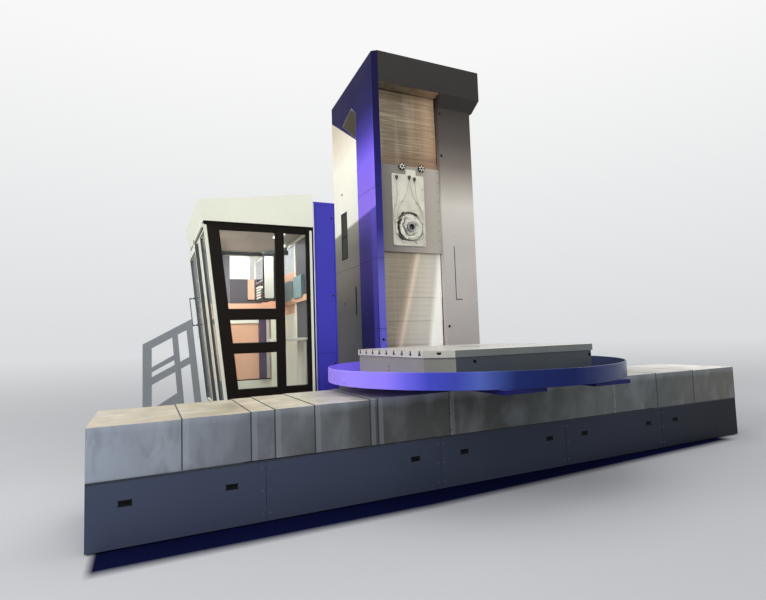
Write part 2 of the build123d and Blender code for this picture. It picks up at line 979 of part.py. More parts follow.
column_right_cover.part.label = "column_right_cover"
export_step(column_right_cover.part, "parts/column_right_cover.step")


# Cap outline inside the front cover's bevel, moved inwards by a further inset
def cap_outline(inset):
    gap = column_sheet + seat_gap + inset
    run = column_corner_x - column_side
    depth = column_corner_y - column_front
    length = hypot(run, depth)
    front_x = column_corner_x + (gap * length - inset * run) / depth
    side_y = column_front + (gap * length + (run - gap) * depth) / run
    return (
        (front_x, column_front + inset),
        (cap_right - inset, column_front + inset),
        (cap_right - inset, column_back - inset),
        (column_side + gap, column_back - inset),
        (column_side + gap, side_y),
        (front_x, column_front + inset),
    )


# Solid inside of the cap's outline, under its sloping top, down to the bevel's foot
def cap_body(inset):
    with BuildPart() as body:
        with BuildSketch(Plane.XY.offset(cap_bottom)):
            with BuildLine():
                Polyline(*cap_outline(inset))
            make_face()
        extrude(amount=cap_top_front - cap_bottom)
        with BuildSketch(Plane.YZ.offset(column_side)):
            with BuildLine():
                Polyline(
                    (column_front, cap_bottom),
                    (column_front, cap_top_front - inset),
                    (column_back, cap_top_back - inset),
                    (column_back, cap_bottom),
                    (column_front, cap_bottom),
                )
            make_face()
        extrude(amount=cap_right - column_side, mode=Mode.INTERSECT)
        bevel_left = casting_right + cap_sheet + inset
        for level, shrink_x, shrink_y in ((0, 0, 0), (1, bevel_side, bevel_front)):
            low = (bevel_left, column_front + inset + shrink_y)
            high = (cap_right - inset - shrink_x, column_back - inset)
            floor = cap_bottom + inset / 2 if level == 0 else cap_bottom - bevel_drop + inset
            with BuildSketch(Plane.XY.offset(floor)):
                with Locations(((low[0] + high[0]) / 2, (low[1] + high[1]) / 2)):
                    Rectangle(high[0] - low[0], high[1] - low[1])
        loft()
    return body.part


with BuildPart() as column_cap:
    add(cap_body(0))
    add(cap_body(cap_sheet), mode=Mode.SUBTRACT)
    block(
        (column_side + column_sheet + seat_gap, column_face + cap_sheet, cap_bottom),
        (casting_right + 2 * cap_sheet, column_back, cap_bottom + cap_sheet),
    )
    block(
        (casting_left + deck_margin, column_face + deck_margin, column_top + seat_gap),
        (casting_right - deck_margin, casting_back - deck_margin, cap_bottom + cap_sheet),
    )
column_cap.part.label = "column_cap"
export_step(column_cap.part, "parts/column_cap.step")


# One slat cover section: flat behind, each slat leaning out to its lower edge in front
def slat_section(level, bottom, length, slats):
    front = slat_front + level * slat_pitch
    back = front + slat_lip + slat_sheet
    height = length / slats
    profile = [(back, bottom)]
    for number in range(slats):
        profile.append((front, bottom + number * height))
        profile.append((front + slat_lip, bottom + (number + 1) * height))
    profile.append((back, bottom + length))
    profile.append((back, bottom))
    with BuildPart() as section:
        with BuildSketch(Plane.YZ.offset(slat_left)):
            with BuildLine():
                Polyline(*profile)
            make_face()
        extrude(amount=slat_right - slat_left)
    return section.part


for level in range(slat_levels):
    with BuildPart() as slat_cover_upper:
        add(slat_section(level, head_top + level * upper_visible, upper_length, upper_slats))
        if level == 0:
            block(
                (slat_left, slat_front - carrier_proud, head_top),
                (slat_right, slat_front + slat_lip, head_top + carrier_height),
            )
    slat_cover_upper.part.label = f"slat_cover_upper_{level + 1}"
    export_step(slat_cover_upper.part, f"parts/slat_cover_upper_{level + 1}.step")
    with BuildPart() as slat_cover_lower:
        low = head_bottom - lower_length - level * lower_visible
        add(slat_section(level, low, lower_length, lower_slats))
    slat_cover_lower.part.label = f"slat_cover_lower_{level + 1}"
    export_step(slat_cover_lower.part, f"parts/slat_cover_lower_{level + 1}.step")

# Headstock: front plate, neck through the column's throat, keepers behind it, main body
with BuildPart() as headstock:
    keeper_start = column_face + throat_depth + slat_gap
    block((slat_left, head_front, head_bottom), (slat_right, column_face - slat_gap, head_top))
    block(
        (spindle_x - head_neck_half, column_face - slat_gap, head_bottom),
        (spindle_x + head_neck_half, head_back, head_top),
    )
    block(
        (spindle_x - head_keeper_half, keeper_start, head_bottom),
        (spindle_x + head_keeper_half, keeper_start + head_keeper_depth, head_top),
    )
    block(
        (y_screw_x - nut_bracket_half, head_back, nut_bottom),
        (y_screw_x + nut_bracket_half, y_screw_y + nut_bracket_half, nut_top),
    )
    with BuildSketch(Plane.XY.offset(nut_bottom)):
        with Locations((y_screw_x, y_screw_y)):
            Circle(y_screw_radius + screw_clearance)
    extrude(amount=nut_top - nut_bottom, mode=Mode.SUBTRACT)
    with BuildSketch(Plane.XZ.offset(-head_front)):
        with Locations((spindle_x, spindle_z)):
            Circle(sleeve_radius + running_gap)
    extrude(amount=head_front - head_back, mode=Mode.SUBTRACT)
headstock.part.label = "headstock"
export_step(headstock.part, "parts/headstock.step")

with BuildPart() as face_plate:
    with BuildSketch(Plane.XZ.offset(-head_front)):
        with Locations((spindle_x, (face_bottom + face_top) / 2)):
            RectangleRounded(2 * face_half, face_top - face_bottom, face_corner)
        with Locations(((face_tab_left + face_tab_right) / 2, (face_top + face_tab_top) / 2)):
            Rectangle(face_tab_right - face_tab_left, face_tab_top - face_top)
        with Locations((spindle_x, spindle_z)):
            Circle(nose_hole, mode=Mode.SUBTRACT)
    extrude(amount=face_thickness)
face_plate.part.label = "face_plate"
export_step(face_plate.part, "parts/face_plate.step")

with BuildPart() as spindle_motor:
    with BuildSketch(Plane.XZ.offset(-head_back - seat_gap)):
        with Locations((main_motor_x, main_motor_z)):
            Rectangle(2 * main_motor_radius, 2 * main_motor_radius)
            Circle(main_motor_radius - main_motor_round, mode=Mode.SUBTRACT)
            Circle(main_motor_radius)
    extrude(amount=-main_motor_flange)
    with BuildSketch(Plane.XZ.offset(-head_back - main_motor_flange)):
        with Locations((main_motor_x, main_motor_z)):
            Circle(main_motor_radius)
    extrude(amount=main_motor_flange - main_motor_length)
spindle_motor.part.label = "spindle_motor"
export_step(spindle_motor.part, "parts/spindle_motor.step")

# Turning sleeve: nose flange with its bolt circle, and the tube that carries the spindle
with BuildPart() as spindle_sleeve:
    with BuildSketch(Plane.XZ.offset(-nose_front)):
        with Locations((spindle_x, spindle_z)):
            Circle(nose_radius)
    extrude(amount=nose_front - head_front + seat_gap)
    with BuildSketch(Plane.XZ.offset(-nose_front)):
        with Locations((spindle_x, spindle_z)):
            Circle(sleeve_radius)
    extrude(amount=nose_front - sleeve_back)
    chamfer(spindle_sleeve.edges().group_by(Axis.Y)[0], nose_chamfer)
    with BuildSketch(Plane.XZ.offset(-nose_front)):
        with Locations((spindle_x, spindle_z)):
            Circle(spindle_radius + running_gap)
    extrude(amount=nose_front - sleeve_back, mode=Mode.SUBTRACT)
    with BuildSketch(Plane.XZ.offset(-nose_front)):
        with Locations((spindle_x, spindle_z)):
            with PolarLocations(nose_bolt_circle, nose_bolts):
                Circle(nose_bolt_radius)
    extrude(amount=-nose_bolt_depth, mode=Mode.SUBTRACT)
spindle_sleeve.part.label = "spindle_sleeve"
export_step(spindle_sleeve.part, "parts/spindle_sleeve.step")

with BuildPart() as boring_spindle:
    with BuildSketch(Plane.XZ.offset(-spindle_front)):
        with Locations((spindle_x, spindle_z)):
            Circle(spindle_radius)
    extrude(amount=spindle_front - spindle_back)
    for depth, radius in ((0, taper_mouth), (taper_depth, taper_end)):
        with BuildSketch(Plane.XZ.offset(-spindle_front - depth)):
            with Locations((spindle_x, spindle_z)):
                Circle(radius)
    loft(mode=Mode.SUBTRACT)
boring_spindle.part.label = "boring_spindle"
export_step(boring_spindle.part, "parts/boring_spindle.step")

# Two star knobs at the headstock's top edge
for side, x in zip(("left", "right"), knob_x):
    with BuildPart() as knob:
        with BuildSketch(Plane.XZ.offset(-head_front + seat_gap)):
            with Locations((x, knob_z)):
                Circle(knob_shank)
        extrude(amount=knob_depth / 2)
        with BuildSketch(Plane.XZ.offset(-head_front + seat_gap + knob_depth / 2)):
            with Locations((x, knob_z)):
                Circle(knob_radius - knob_lobe)
                with PolarLocations(knob_radius - knob_lobe, knob_lobes):
                    Circle(knob_lobe)
        extrude(amount=knob_depth / 2)
    knob.part.label = f"knob_{side}"
    export_step(knob.part, f"parts/knob_{side}.step")


# Cab section across the machine: its outline moved inwards by an inset on every side
def cab_lean_x(z, inset):
    slope = cab_lean / (cab_head - cab_floor)
    return cab_foot - (z - cab_floor) * slope + inset * hypot(1, slope)


def cab_outline(inset, bottom, top, right):
    return (
        (cab_lean_x(bottom, inset), bottom),
        (cab_lean_x(top, inset), top),
        (right, top),
        (right, bottom),
        (cab_lean_x(bottom, inset), bottom),
    )


lean_run = hypot(cab_lean, cab_head - cab_floor)
lean_plane = Plane(
    origin=(cab_foot, 0, cab_floor),
    x_dir=(0, -1, 0),
    z_dir=(cab_floor - cab_head, 0, -cab_lean),
)
door_middle = -(door_opening[0] + door_opening[1]) / 2
door_width = door_opening[1] - door_opening[0]
window_middle = -(side_window[0] + side_window[1]) / 2
window_span = side_window[1] - side_window[0]
window_up = (side_window_bottom + side_window_top) / 2
window_rise = side_window_top - side_window_bottom
leaf_bottom = door_sill - door_margin
leaf_height = door_head + 2 * door_margin
leaf_up = leaf_bottom + leaf_height / 2
door_window_width = door_width - 2 * door_stile
door_window_rise = leaf_height - 2 * door_stile
pull_at = door_middle - door_width / 2 + door_margin

# Cab shell: floor, ceiling, back and both side walls, with its windows and the doorway
with BuildPart() as cab_shell:
    with BuildSketch(Plane.XZ.offset(-cab_face)):
        with BuildLine():
            Polyline(*cab_outline(0, cab_floor, cab_head, cab_right))
        make_face()
    extrude(amount=cab_face - cab_back)
    with BuildSketch(Plane.XZ.offset(-cab_face)):
        with BuildLine():
            Polyline(
                *cab_outline(cab_wall, cab_floor + cab_wall, cab_head - cab_wall, cab_right - cab_wall)
            )
        make_face()
    extrude(amount=cab_face - cab_back + cab_wall, mode=Mode.SUBTRACT)
    with BuildSketch(lean_plane.offset(-2 * cab_wall)):
        with Locations((window_middle, window_up)):
            Rectangle(window_span, window_rise)
        with Locations((door_middle, door_sill + door_head / 2)):
            Rectangle(door_width, door_head)
    extrude(amount=3 * cab_wall, mode=Mode.SUBTRACT)
    with BuildSketch(Plane.YZ.offset(cab_right - 2 * cab_wall)):
        with Locations(((right_window[0] + right_window[1]) / 2, (upper_rail[1] + lintel) / 2)):
            Rectangle(right_window[1] - right_window[0], lintel - upper_rail[1])
    extrude(amount=3 * cab_wall, mode=Mode.SUBTRACT)
    with BuildSketch(Plane.XZ.offset(-cab_back)):
        with Locations(((rear_window[0] + rear_window[1]) / 2, (rear_window[2] + rear_window[3]) / 2)):
            Rectangle(rear_window[1] - rear_window[0], rear_window[3] - rear_window[2])
    extrude(amount=2 * cab_wall, mode=Mode.SUBTRACT)
    with BuildSketch(lean_plane):
        with Locations((door_middle + door_travel / 2, lean_run - door_rail)):
            Rectangle(door_width + door_travel + 2 * door_margin, door_rail)
    extrude(amount=door_rail_depth)
    with BuildSketch(lean_plane):
        with Locations((door_middle + door_travel / 2, (door_sill - door_margin) / 2)):
            Rectangle(door_width + door_travel + 2 * door_margin, door_rail / 2)
    extrude(amount=door_gap + door_thickness)
    with BuildSketch(Plane.XY.offset(cab_head - cab_wall)):
        with Locations((pendant_pivot_x, pendant_pivot_y)):
            Circle(pendant_bush)
            Circle(pendant_shaft + seat_gap, mode=Mode.SUBTRACT)
    extrude(amount=-pendant_bush_depth)
cab_shell.part.label = "cab_shell"
export_step(cab_shell.part, "parts/cab_shell.step")

# Dark front frame set inside the shell, with three panes beside a tall one
pane_rows = ((sill_top, lower_rail[0]), (lower_rail[1], upper_rail[0]), (upper_rail[1], lintel))
frame_inset = cab_wall + seat_gap

with BuildPart() as cab_front:
    with BuildSketch(Plane.XZ.offset(-cab_face)):
        with BuildLine():
            Polyline(
                *cab_outline(
                    frame_inset, cab_floor + frame_inset, cab_head - frame_inset, cab_right - frame_inset
                )
            )
        make_face()
        for bottom, top in pane_rows:
            with BuildLine():
                Polyline(*cab_outline(frame_inset + stile, bottom, top, mid_stile[0]))
            make_face(mode=Mode.SUBTRACT)
        with Locations(((mid_stile[1] + right_pane) / 2, (sill_top + lintel) / 2)):
            Rectangle(right_pane - mid_stile[1], lintel - sill_top, mode=Mode.SUBTRACT)
    extrude(amount=-front_frame)
cab_front.part.label = "cab_front"
export_step(cab_front.part, "parts/cab_front.step")

with BuildPart() as cab_glass:
    with BuildSketch(Plane.XZ.offset(-cab_face - front_frame / 2)):
        for bottom, top in pane_rows:
            with BuildLine():
                Polyline(
                    *cab_outline(
                        frame_inset + stile + seat_gap,
                        bottom + seat_gap,
                        top - seat_gap,
                        mid_stile[0] - seat_gap,
                    )
                )
            make_face()
        with Locations(((mid_stile[1] + right_pane) / 2, (sill_top + lintel) / 2)):
            Rectangle(right_pane - mid_stile[1] - 2 * seat_gap, lintel - sill_top - 2 * seat_gap)
    extrude(amount=-glass)
    with BuildSketch(lean_plane.offset(-(cab_wall + glass) / 2)):
        with Locations((window_middle, window_up)):
            Rectangle(window_span - 2 * seat_gap, window_rise - 2 * seat_gap)
    extrude(amount=glass)
    with BuildSketch(Plane.YZ.offset(cab_right - (cab_wall + glass) / 2)):
        with Locations(((right_window[0] + right_window[1]) / 2, (upper_rail[1] + lintel) / 2)):
            Rectangle(
                right_window[1] - right_window[0] - 2 * seat_gap, lintel - upper_rail[1] - 2 * seat_gap
            )
    extrude(amount=glass)
    with BuildSketch(Plane.XZ.offset(-cab_back + (cab_wall - glass) / 2)):
        with Locations(((rear_window[0] + rear_window[1]) / 2, (rear_window[2] + rear_window[3]) / 2)):
            Rectangle(
                rear_window[1] - rear_window[0] - 2 * seat_gap,
                rear_window[3] - rear_window[2] - 2 * seat_gap,
            )
    extrude(amount=glass)
cab_glass.part.label = "cab_glass"
export_step(cab_glass.part, "parts/cab_glass.step")

# Inner lining of the back and right walls, with a grab rail along each
with BuildPart() as cab_lining:
    lining_gap = cab_wall + seat_gap
    lining_y = cab_back - lining_gap
    lining_x = cab_right - lining_gap
    with BuildSketch(Plane.XZ.offset(-lining_y)):
        with BuildLine():
            Polyline(*cab_outline(lining_gap, cab_floor + lining_gap, lining_top, lining_x))
        make_face()
    extrude(amount=lining_sheet)
    block(
        (lining_x - lining_sheet, cab_face + front_frame + seat_gap, cab_floor + lining_gap),
        (lining_x, lining_y, lining_top),
    )
    block(
        (cab_lean_x(grab_bottom, lining_gap), lining_y - grab_depth, grab_bottom),
        (lining_x, lining_y, grab_top),
    )
    block(
        (lining_x - grab_depth, cab_face + front_frame + seat_gap, grab_bottom),
        (lining_x, lining_y, grab_top),
    )
cab_lining.part.label = "cab_lining"
export_step(cab_lining.part, "parts/cab_lining.step")

# Roof casing: a folded shell, higher on the right, open underneath
with BuildPart() as cab_roof:
    roof_foot = cab_head + seat_gap
    roof_lean = (cab_foot - cab_lean, roof_foot)
    with BuildSketch(Plane.XZ.offset(-roof_front)):
        with BuildLine():
            Polyline(
                roof_lean,
                (roof_left, roof_left_top),
                (roof_right, roof_right_top),
                (roof_right, roof_foot),
                roof_lean,
            )
        make_face()
    extrude(amount=roof_front - roof_back)
    with BuildSketch(Plane.XZ.offset(-roof_front - roof_sheet)):
        with BuildLine():
            Polyline(
                (roof_lean[0] + roof_sheet, roof_foot),
                (roof_left + roof_sheet, roof_left_top - roof_sheet),
                (roof_right - roof_sheet, roof_right_top - roof_sheet),
                (roof_right - roof_sheet, roof_foot),
                (roof_lean[0] + roof_sheet, roof_foot),
            )
        make_face()
    extrude(amount=roof_front - roof_back + 2 * roof_sheet, mode=Mode.SUBTRACT)
cab_roof.part.label = "cab_roof"
export_step(cab_roof.part, "parts/cab_roof.step")

# Sliding door: a framed leaf hung outside the leaning wall, with a pull bar
with BuildPart() as cab_door:
    with BuildSketch(lean_plane.offset(door_gap)):
        with Locations((door_middle, leaf_up)):
            Rectangle(door_width + 2 * door_margin, leaf_height)
            Rectangle(door_window_width, door_window_rise, mode=Mode.SUBTRACT)
    extrude(amount=door_thickness)
    with BuildSketch(lean_plane.offset(door_gap + door_thickness)):
        with Locations((pull_at, door_pull_up)):
            Rectangle(door_pull_width, door_pull_height)
    extrude(amount=door_pull_depth)
    with BuildSketch(lean_plane.offset(door_gap + door_thickness)):
        with Locations((pull_at, door_pull_up)):
            Rectangle(door_pull_width, door_pull_height - 2 * door_pull_width)
    extrude(amount=door_pull_depth - door_pull_width, mode=Mode.SUBTRACT)
    hanger_foot = leaf_bottom + leaf_height - door_rail
    hanger_head = lean_run - door_rail / 2 + seat_gap
    with BuildSketch(lean_plane.offset(door_rail_depth + seat_gap)):
        with Locations((door_middle, (hanger_foot + hanger_head) / 2)):
            with GridLocations(door_width / 2, 0, 2, 1):
                Rectangle(hanger_width, hanger_head - hanger_foot)
    extrude(amount=hanger_sheet)
    with BuildSketch(lean_plane.offset(door_gap)):
        with Locations((door_middle, hanger_head + hanger_sheet / 2)):
            with GridLocations(door_width / 2, 0, 2, 1):
                Rectangle(hanger_width, hanger_sheet)
    extrude(amount=door_rail_depth + seat_gap + hanger_sheet - door_gap)
cab_door.part.label = "cab_door"
export_step(cab_door.part, "parts/cab_door.step")

with BuildPart() as cab_door_glass:
    with BuildSketch(lean_plane.offset(door_gap + (door_thickness - glass) / 2)):
        with Locations((door_middle, leaf_up)):
            Rectangle(door_window_width - 2 * seat_gap, door_window_rise - 2 * seat_gap)
    extrude(amount=glass)
cab_door_glass.part.label = "cab_door_glass"
export_step(cab_door_glass.part, "parts/cab_door_glass.step")

# Welded platform: deck on legs, stair with stringers, and a leaning railing on each side
with BuildPart() as cab_platform:
    deck_top = cab_floor - seat_gap
    block((landing_edge, cab_face, deck_top - deck_thickness), (cab_right, cab_back, deck_top))
    with BuildSketch(Plane.XY):
        for x in (landing_edge + leg_inset, cab_foot, cab_right - leg_inset):
            for y in (cab_face + leg_inset, cab_back - leg_inset):
                with Locations((x, y)):
                    Rectangle(leg_size, leg_size)
    extrude(amount=deck_top - deck_thickness)
    with BuildSketch(Plane.XY):
        for x in (landing_edge + leg_inset, cab_foot, cab_right - leg_inset):
            for y in (cab_face + leg_inset, cab_back - leg_inset):
                with Locations((x, y)):
                    Rectangle(leg_foot, leg_foot)
    extrude(amount=leg_plate)
    step_rise = deck_top / (step_count + 1)
    for number in range(1, step_count + 1):
        tread_top = deck_top - number * step_rise
        block(
            (landing_edge - number * step_run, stair_front, tread_top - tread_thickness),
            (landing_edge - (number - 1) * step_run, cab_back, tread_top),
        )
    stair_end = landing_edge - step_count * step_run
    for y in (stair_front, cab_back - rail_sheet):
        with BuildSketch(Plane.XZ.offset(-y)):
            with BuildLine():
                Polyline(
                    (landing_edge, deck_top),
                    (landing_edge, deck_top - 2 * step_rise),
                    (stair_end + step_run, 0),
                    (stair_end, 0),
                    (stair_end, step_rise),
                    (landing_edge, deck_top),
                )
            make_face()
        extrude(amount=-rail_sheet)
    with BuildSketch(Plane.XZ.offset(-stair_front)):
        for outline in near_railing:
            with BuildLine():
                Polyline(*outline, outline[0])
            make_face()
    extrude(amount=-rail_sheet)
    with BuildSketch(Plane.XZ.offset(-cab_back + rail_sheet)):
        for outline in far_railing:
            with BuildLine():
                Polyline(*outline, outline[0])
            make_face()
    extrude(amount=-rail_sheet)
cab_platform.part.label = "cab_platform"
export_step(cab_platform.part, "parts/cab_platform.step")

# Service tower beside the cab, bracketed to its wall
with BuildPart() as service_tower:
    block((tower_left, tower_front, 0), (tower_right, tower_back, tower_top))
    for z in tower_brackets:
        block(
            (cab_right + seat_gap, tower_front + tower_bracket, z),
            (tower_left, tower_back - tower_bracket, z + tower_bracket),
        )
service_tower.part.label = "service_tower"
export_step(service_tower.part, "parts/service_tower.step")

# Control pendant hung on an arm that swings from a bush under the ceiling
with BuildPart() as control_pendant:
    low, high = pendant_box
    block(low, high)
    fillet(control_pendant.edges().filter_by(Axis.Y), pendant_round)
    box_x = (low[0] + high[0]) / 2
    with BuildSketch(Plane.XY.offset(pendant_arm_z)):
        with Locations((box_x, pendant_pivot_y)):
            Circle(pendant_hanger)
        with Locations((pendant_pivot_x, pendant_pivot_y)):
            Circle(pendant_hanger)
        make_hull()
    extrude(amount=pendant_arm_depth / 2, both=True)
    with BuildSketch(Plane.XY.offset(high[2])):
        with Locations((box_x, pendant_pivot_y)):
            Circle(pendant_shaft)
    extrude(amount=pendant_arm_z - high[2])
    with BuildSketch(Plane.XY.offset(pendant_arm_z)):
        with Locations((pendant_pivot_x, pendant_pivot_y)):
            Circle(pendant_shaft)
    extrude(amount=cab_head - cab_wall - seat_gap - pendant_arm_z)
    with BuildSketch(Plane.YZ.offset(low[0])):
        with Locations((stop_y, stop_z)):
            Circle(stop_stem + seat_gap)
    extrude(amount=stop_depth + stop_travel, mode=Mode.SUBTRACT)
control_pendant.part.label = "control_pendant"
export_step(control_pendant.part, "parts/control_pendant.step")

with BuildPart() as stop_button:
    cap_back = pendant_box[0][0] - stop_travel - seat_gap
    with BuildSketch(Plane.YZ.offset(cap_back)):
        with Locations((stop_y, stop_z)):
            Circle(stop_radius)
    extrude(amount=-stop_cap)
    fillet(stop_button.edges().group_by(Axis.X)[0], stop_round)
    with BuildSketch(Plane.YZ.offset(cap_back)):
        with Locations((stop_y, stop_z)):
            Circle(stop_stem)
    extrude(amount=stop_depth)
stop_button.part.label = "stop_button"
export_step(stop_button.part, "parts/stop_button.step")
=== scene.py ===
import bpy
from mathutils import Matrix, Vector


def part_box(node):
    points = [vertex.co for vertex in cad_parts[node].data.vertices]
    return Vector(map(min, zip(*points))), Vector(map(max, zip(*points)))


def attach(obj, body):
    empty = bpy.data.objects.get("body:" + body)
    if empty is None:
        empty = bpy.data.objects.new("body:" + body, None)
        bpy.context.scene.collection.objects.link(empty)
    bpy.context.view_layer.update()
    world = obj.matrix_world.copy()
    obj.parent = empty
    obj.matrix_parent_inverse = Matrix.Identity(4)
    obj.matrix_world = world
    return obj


bl_info = {
    "name": "Boring Mill Finishes",
    "version": (1, 0, 0),
    "blender": (4, 5, 0),
    "location": "3D View > Sidebar > Mill",
    "description": "Finishes, fasteners, fittings and stage for a horizontal boring mill",
    "category": "Object",
}

import math

import bmesh
import bpy
from bpy.props import FloatProperty, FloatVectorProperty, PointerProperty
from mathutils import Matrix, Vector

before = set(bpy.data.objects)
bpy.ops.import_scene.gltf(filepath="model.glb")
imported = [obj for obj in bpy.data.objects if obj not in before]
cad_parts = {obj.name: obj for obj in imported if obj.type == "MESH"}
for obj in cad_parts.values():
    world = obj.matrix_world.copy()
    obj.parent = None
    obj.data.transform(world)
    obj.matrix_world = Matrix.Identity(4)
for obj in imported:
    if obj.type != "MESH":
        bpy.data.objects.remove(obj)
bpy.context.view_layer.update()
MM = 0.001

# Directions in the machine's frame
X = Vector((1, 0, 0))
Y = Vector((0, 1, 0))
Z = Vector((0, 0, 1))

# Camera: at standing eye height, left of the machine
CAMERA_PLACE = (-3.4725, -4.862, 1.5)
CAMERA_YAW = math.radians(-25.258)
CAMERA_PITCH = math.radians(4.181)
CAMERA_ROLL = math.radians(-1.931)
CAMERA_LENS = 23.61


def srgb(red, green, blue):
    """A linear colour from the three values that a screen shows, 0 to 255."""
    linear = []
    for value in (red, green, blue):
        part = value / 255
        linear.append(part / 12.92 if part <= 0.04045 else ((part + 0.055) / 1.055) ** 2.4)
    return (*linear, 1.0)


def colour_property(name, description, *screen):
    limits = {"size": 4, "min": 0, "max": 1, "default": srgb(*screen)}
    return FloatVectorProperty(name=name, description=description, subtype="COLOR", **limits)


def length_property(name, description, millimetres):
    limits = {"min": 0, "default": millimetres * MM}
    return FloatProperty(name=name, description=description, unit="LENGTH", **limits)


class MillColours(bpy.types.PropertyGroup):
    """Paint and metal colours of the machine."""

    panel: colour_property("Bed panels", "Slate paint of the bed panels", 67, 75, 96)
    # Painted shade: the bed panels' slate darkens along the bed to this colour at the right end
    panel_shaded_end: colour_property("Bed panels, far end", "The same paint at the right end", 30, 32, 38)
    charcoal: colour_property("Cap", "Dark paint of the cap", 48, 45, 42)
    cream: colour_property("Cab", "Cream paint of the cab", 232, 233, 214)
    black: colour_property("Cab frames", "Black brown paint of the cab frames", 27, 23, 19)
    peach: colour_property("Cab lining", "Laminated lining boards", 232, 184, 152)
    rail: colour_property("Railing", "Grey paint of stair and railings", 136, 140, 145)
    tower: colour_property("Service tower", "Blue paint of the service tower", 66, 62, 176)


class MillSizes(bpy.types.PropertyGroup):
    """Sizes of the trim and the fasteners."""

    screw: length_property("Screw head", "Radius of a panel screw's head", 9)
    bolt: length_property("Bolt head", "Radius of a large bolt's head", 15)
    band_screw: length_property("Band screw", "Radius of a screw in the saddle's bands", 6.4)
    pipe: length_property("Coolant pipe", "Radius of a coolant pipe", 5)


class Link:
    """A shader value that takes part in Python arithmetic."""

    def __init__(self, finish, socket):
        self.finish = finish
        self.socket = socket

    def maths(self, operation, *values):
        return self.finish.node("ShaderNodeMath", {"operation": operation}, *values)

    def __add__(self, other):
        return self.maths("ADD", self, other)

    __radd__ = __add__

    def __sub__(self, other):
        return self.maths("SUBTRACT", self, other)

    def __rsub__(self, other):
        return self.maths("SUBTRACT", other, self)

    def __mul__(self, other):
        return self.maths("MULTIPLY", self, other)

    __rmul__ = __mul__

    def __truediv__(self, other):
        return self.maths("DIVIDE", self, other)

    def __rtruediv__(self, other):
        return self.maths("DIVIDE", other, self)

    def __abs__(self):
        return self.maths("ABSOLUTE", self)

    def __gt__(self, other):
        return self.maths("GREATER_THAN", self, other)

    def __lt__(self, other):
        return self.maths("LESS_THAN", self, other)

    def over(self, low, high, start=0.0, stop=1.0):
        """This value mapped from low..high to start..stop, and held there outside."""
        return self.finish.node("ShaderNodeMapRange", {"clamp": True}, self, low, high, start, stop)

    def close_to(self, place, width):
        """1 within width of place, falling to 0 at twice that."""
        return abs(self - place).over(width, 2 * width, 1.0, 0.0)


def set_stops(bar, stops):
    """Spreads stops, each a place and a screen colour, over a ramp's bar."""
    low, high = stops[0][0], stops[-1][0]
    bar[0].position, bar[-1].position = 0.0, 1.0
    for place, _ in stops[1:-1]:
        bar.new((place - low) / (high - low))
    for element, (_, colour) in zip(bar, stops):
        element.color = srgb(*colour)


def add_node(tree, kind, settings=None, values=(), named=None):
    """A node with its settings made first, then its sockets by order (None skips) or name."""
    made = tree.nodes.new(kind)
    for name, value in (settings or {}).items():
        if name == "stops":
            set_stops(made.color_ramp.elements, value)
        else:
            setattr(made, name, value)
    sockets = [pair for pair in zip(made.inputs, values) if pair[1] is not None]
    for name, value in (named or {}).items():
        sockets.append((made.inputs[name.replace("_", " ")], value))
    for socket, value in sockets:
        feed(tree, socket, value)
    return made


def feed(tree, socket, value):
    """Links a socket to a value's own socket, or sets it to a plain value."""
    source = value.socket if isinstance(value, Link) else value
    if isinstance(source, bpy.types.NodeSocket):
        tree.links.new(source, socket)
    else:
        socket.default_value = source


class Finish:
    """A material under construction. Patterns read Object coordinates, in metres."""

    def __init__(self, name, **sockets):
        self.material = bpy.data.materials.new(name)
        self.material.use_nodes = True
        self.tree = self.material.node_tree
        self.shader = self.tree.nodes["Principled BSDF"]
        self.place = self.node("ShaderNodeTexCoord", {}, out="Object")
        self.set(**sockets)

    def node(self, kind, settings, *values, out=0, **named):
        return Link(self, add_node(self.tree, kind, settings, values, named).outputs[out])

    def set(self, **sockets):
        """Feeds the shader's own sockets: Base_Color, Roughness, Normal and so on."""
        for name, value in sockets.items():
            feed(self.tree, self.shader.inputs[name.replace("_", " ")], value)
        return self

    def axis(self, letter):
        return self.node("ShaderNodeSeparateXYZ", {}, self.place, out=letter)

    def noise(self, scale, detail=3.0, stretch=(1, 1, 1), roughness=0.5, distortion=0.0):
        place = self.node("ShaderNodeMapping", {}, self.place, Scale=stretch)
        sockets = {"Scale": scale, "Detail": detail, "Roughness": roughness}
        return self.node("ShaderNodeTexNoise", {}, Vector=place, Distortion=distortion, **sockets)

    def mix(self, share, low, high):
        """Two colours mixed; a Mix node's colours are its seventh and eighth sockets."""
        values = (share, *[None] * 5, low, high)
        return self.node("ShaderNodeMix", {"data_type": "RGBA"}, *values, out=2)

    def ramp(self, value, stops):
        """The colour at a value, blended between stops of place and screen colour."""
        share = value.over(stops[0][0], stops[-1][0])
        return self.node("ShaderNodeValToRGB", {"stops": stops}, share)

    def facing(self, letter):
        """How far the surface faces along an axis of the machine, from -1 to 1."""
        normal = self.node("ShaderNodeNewGeometry", {}, out="Normal")
        return self.node("ShaderNodeSeparateXYZ", {}, normal, out=letter)

    def bump(self, height, distance, strength=1.0):
        sockets = {"Strength": strength, "Distance": distance, "Height": height}
        return self.set(Normal=self.node("ShaderNodeBump", {}, **sockets))


def tone(colour, factor):
    """A colour made lighter or darker."""
    return (*(min(1.0, part * factor) for part in colour[:3]), 1.0)


SOOT = srgb(14, 14, 16)


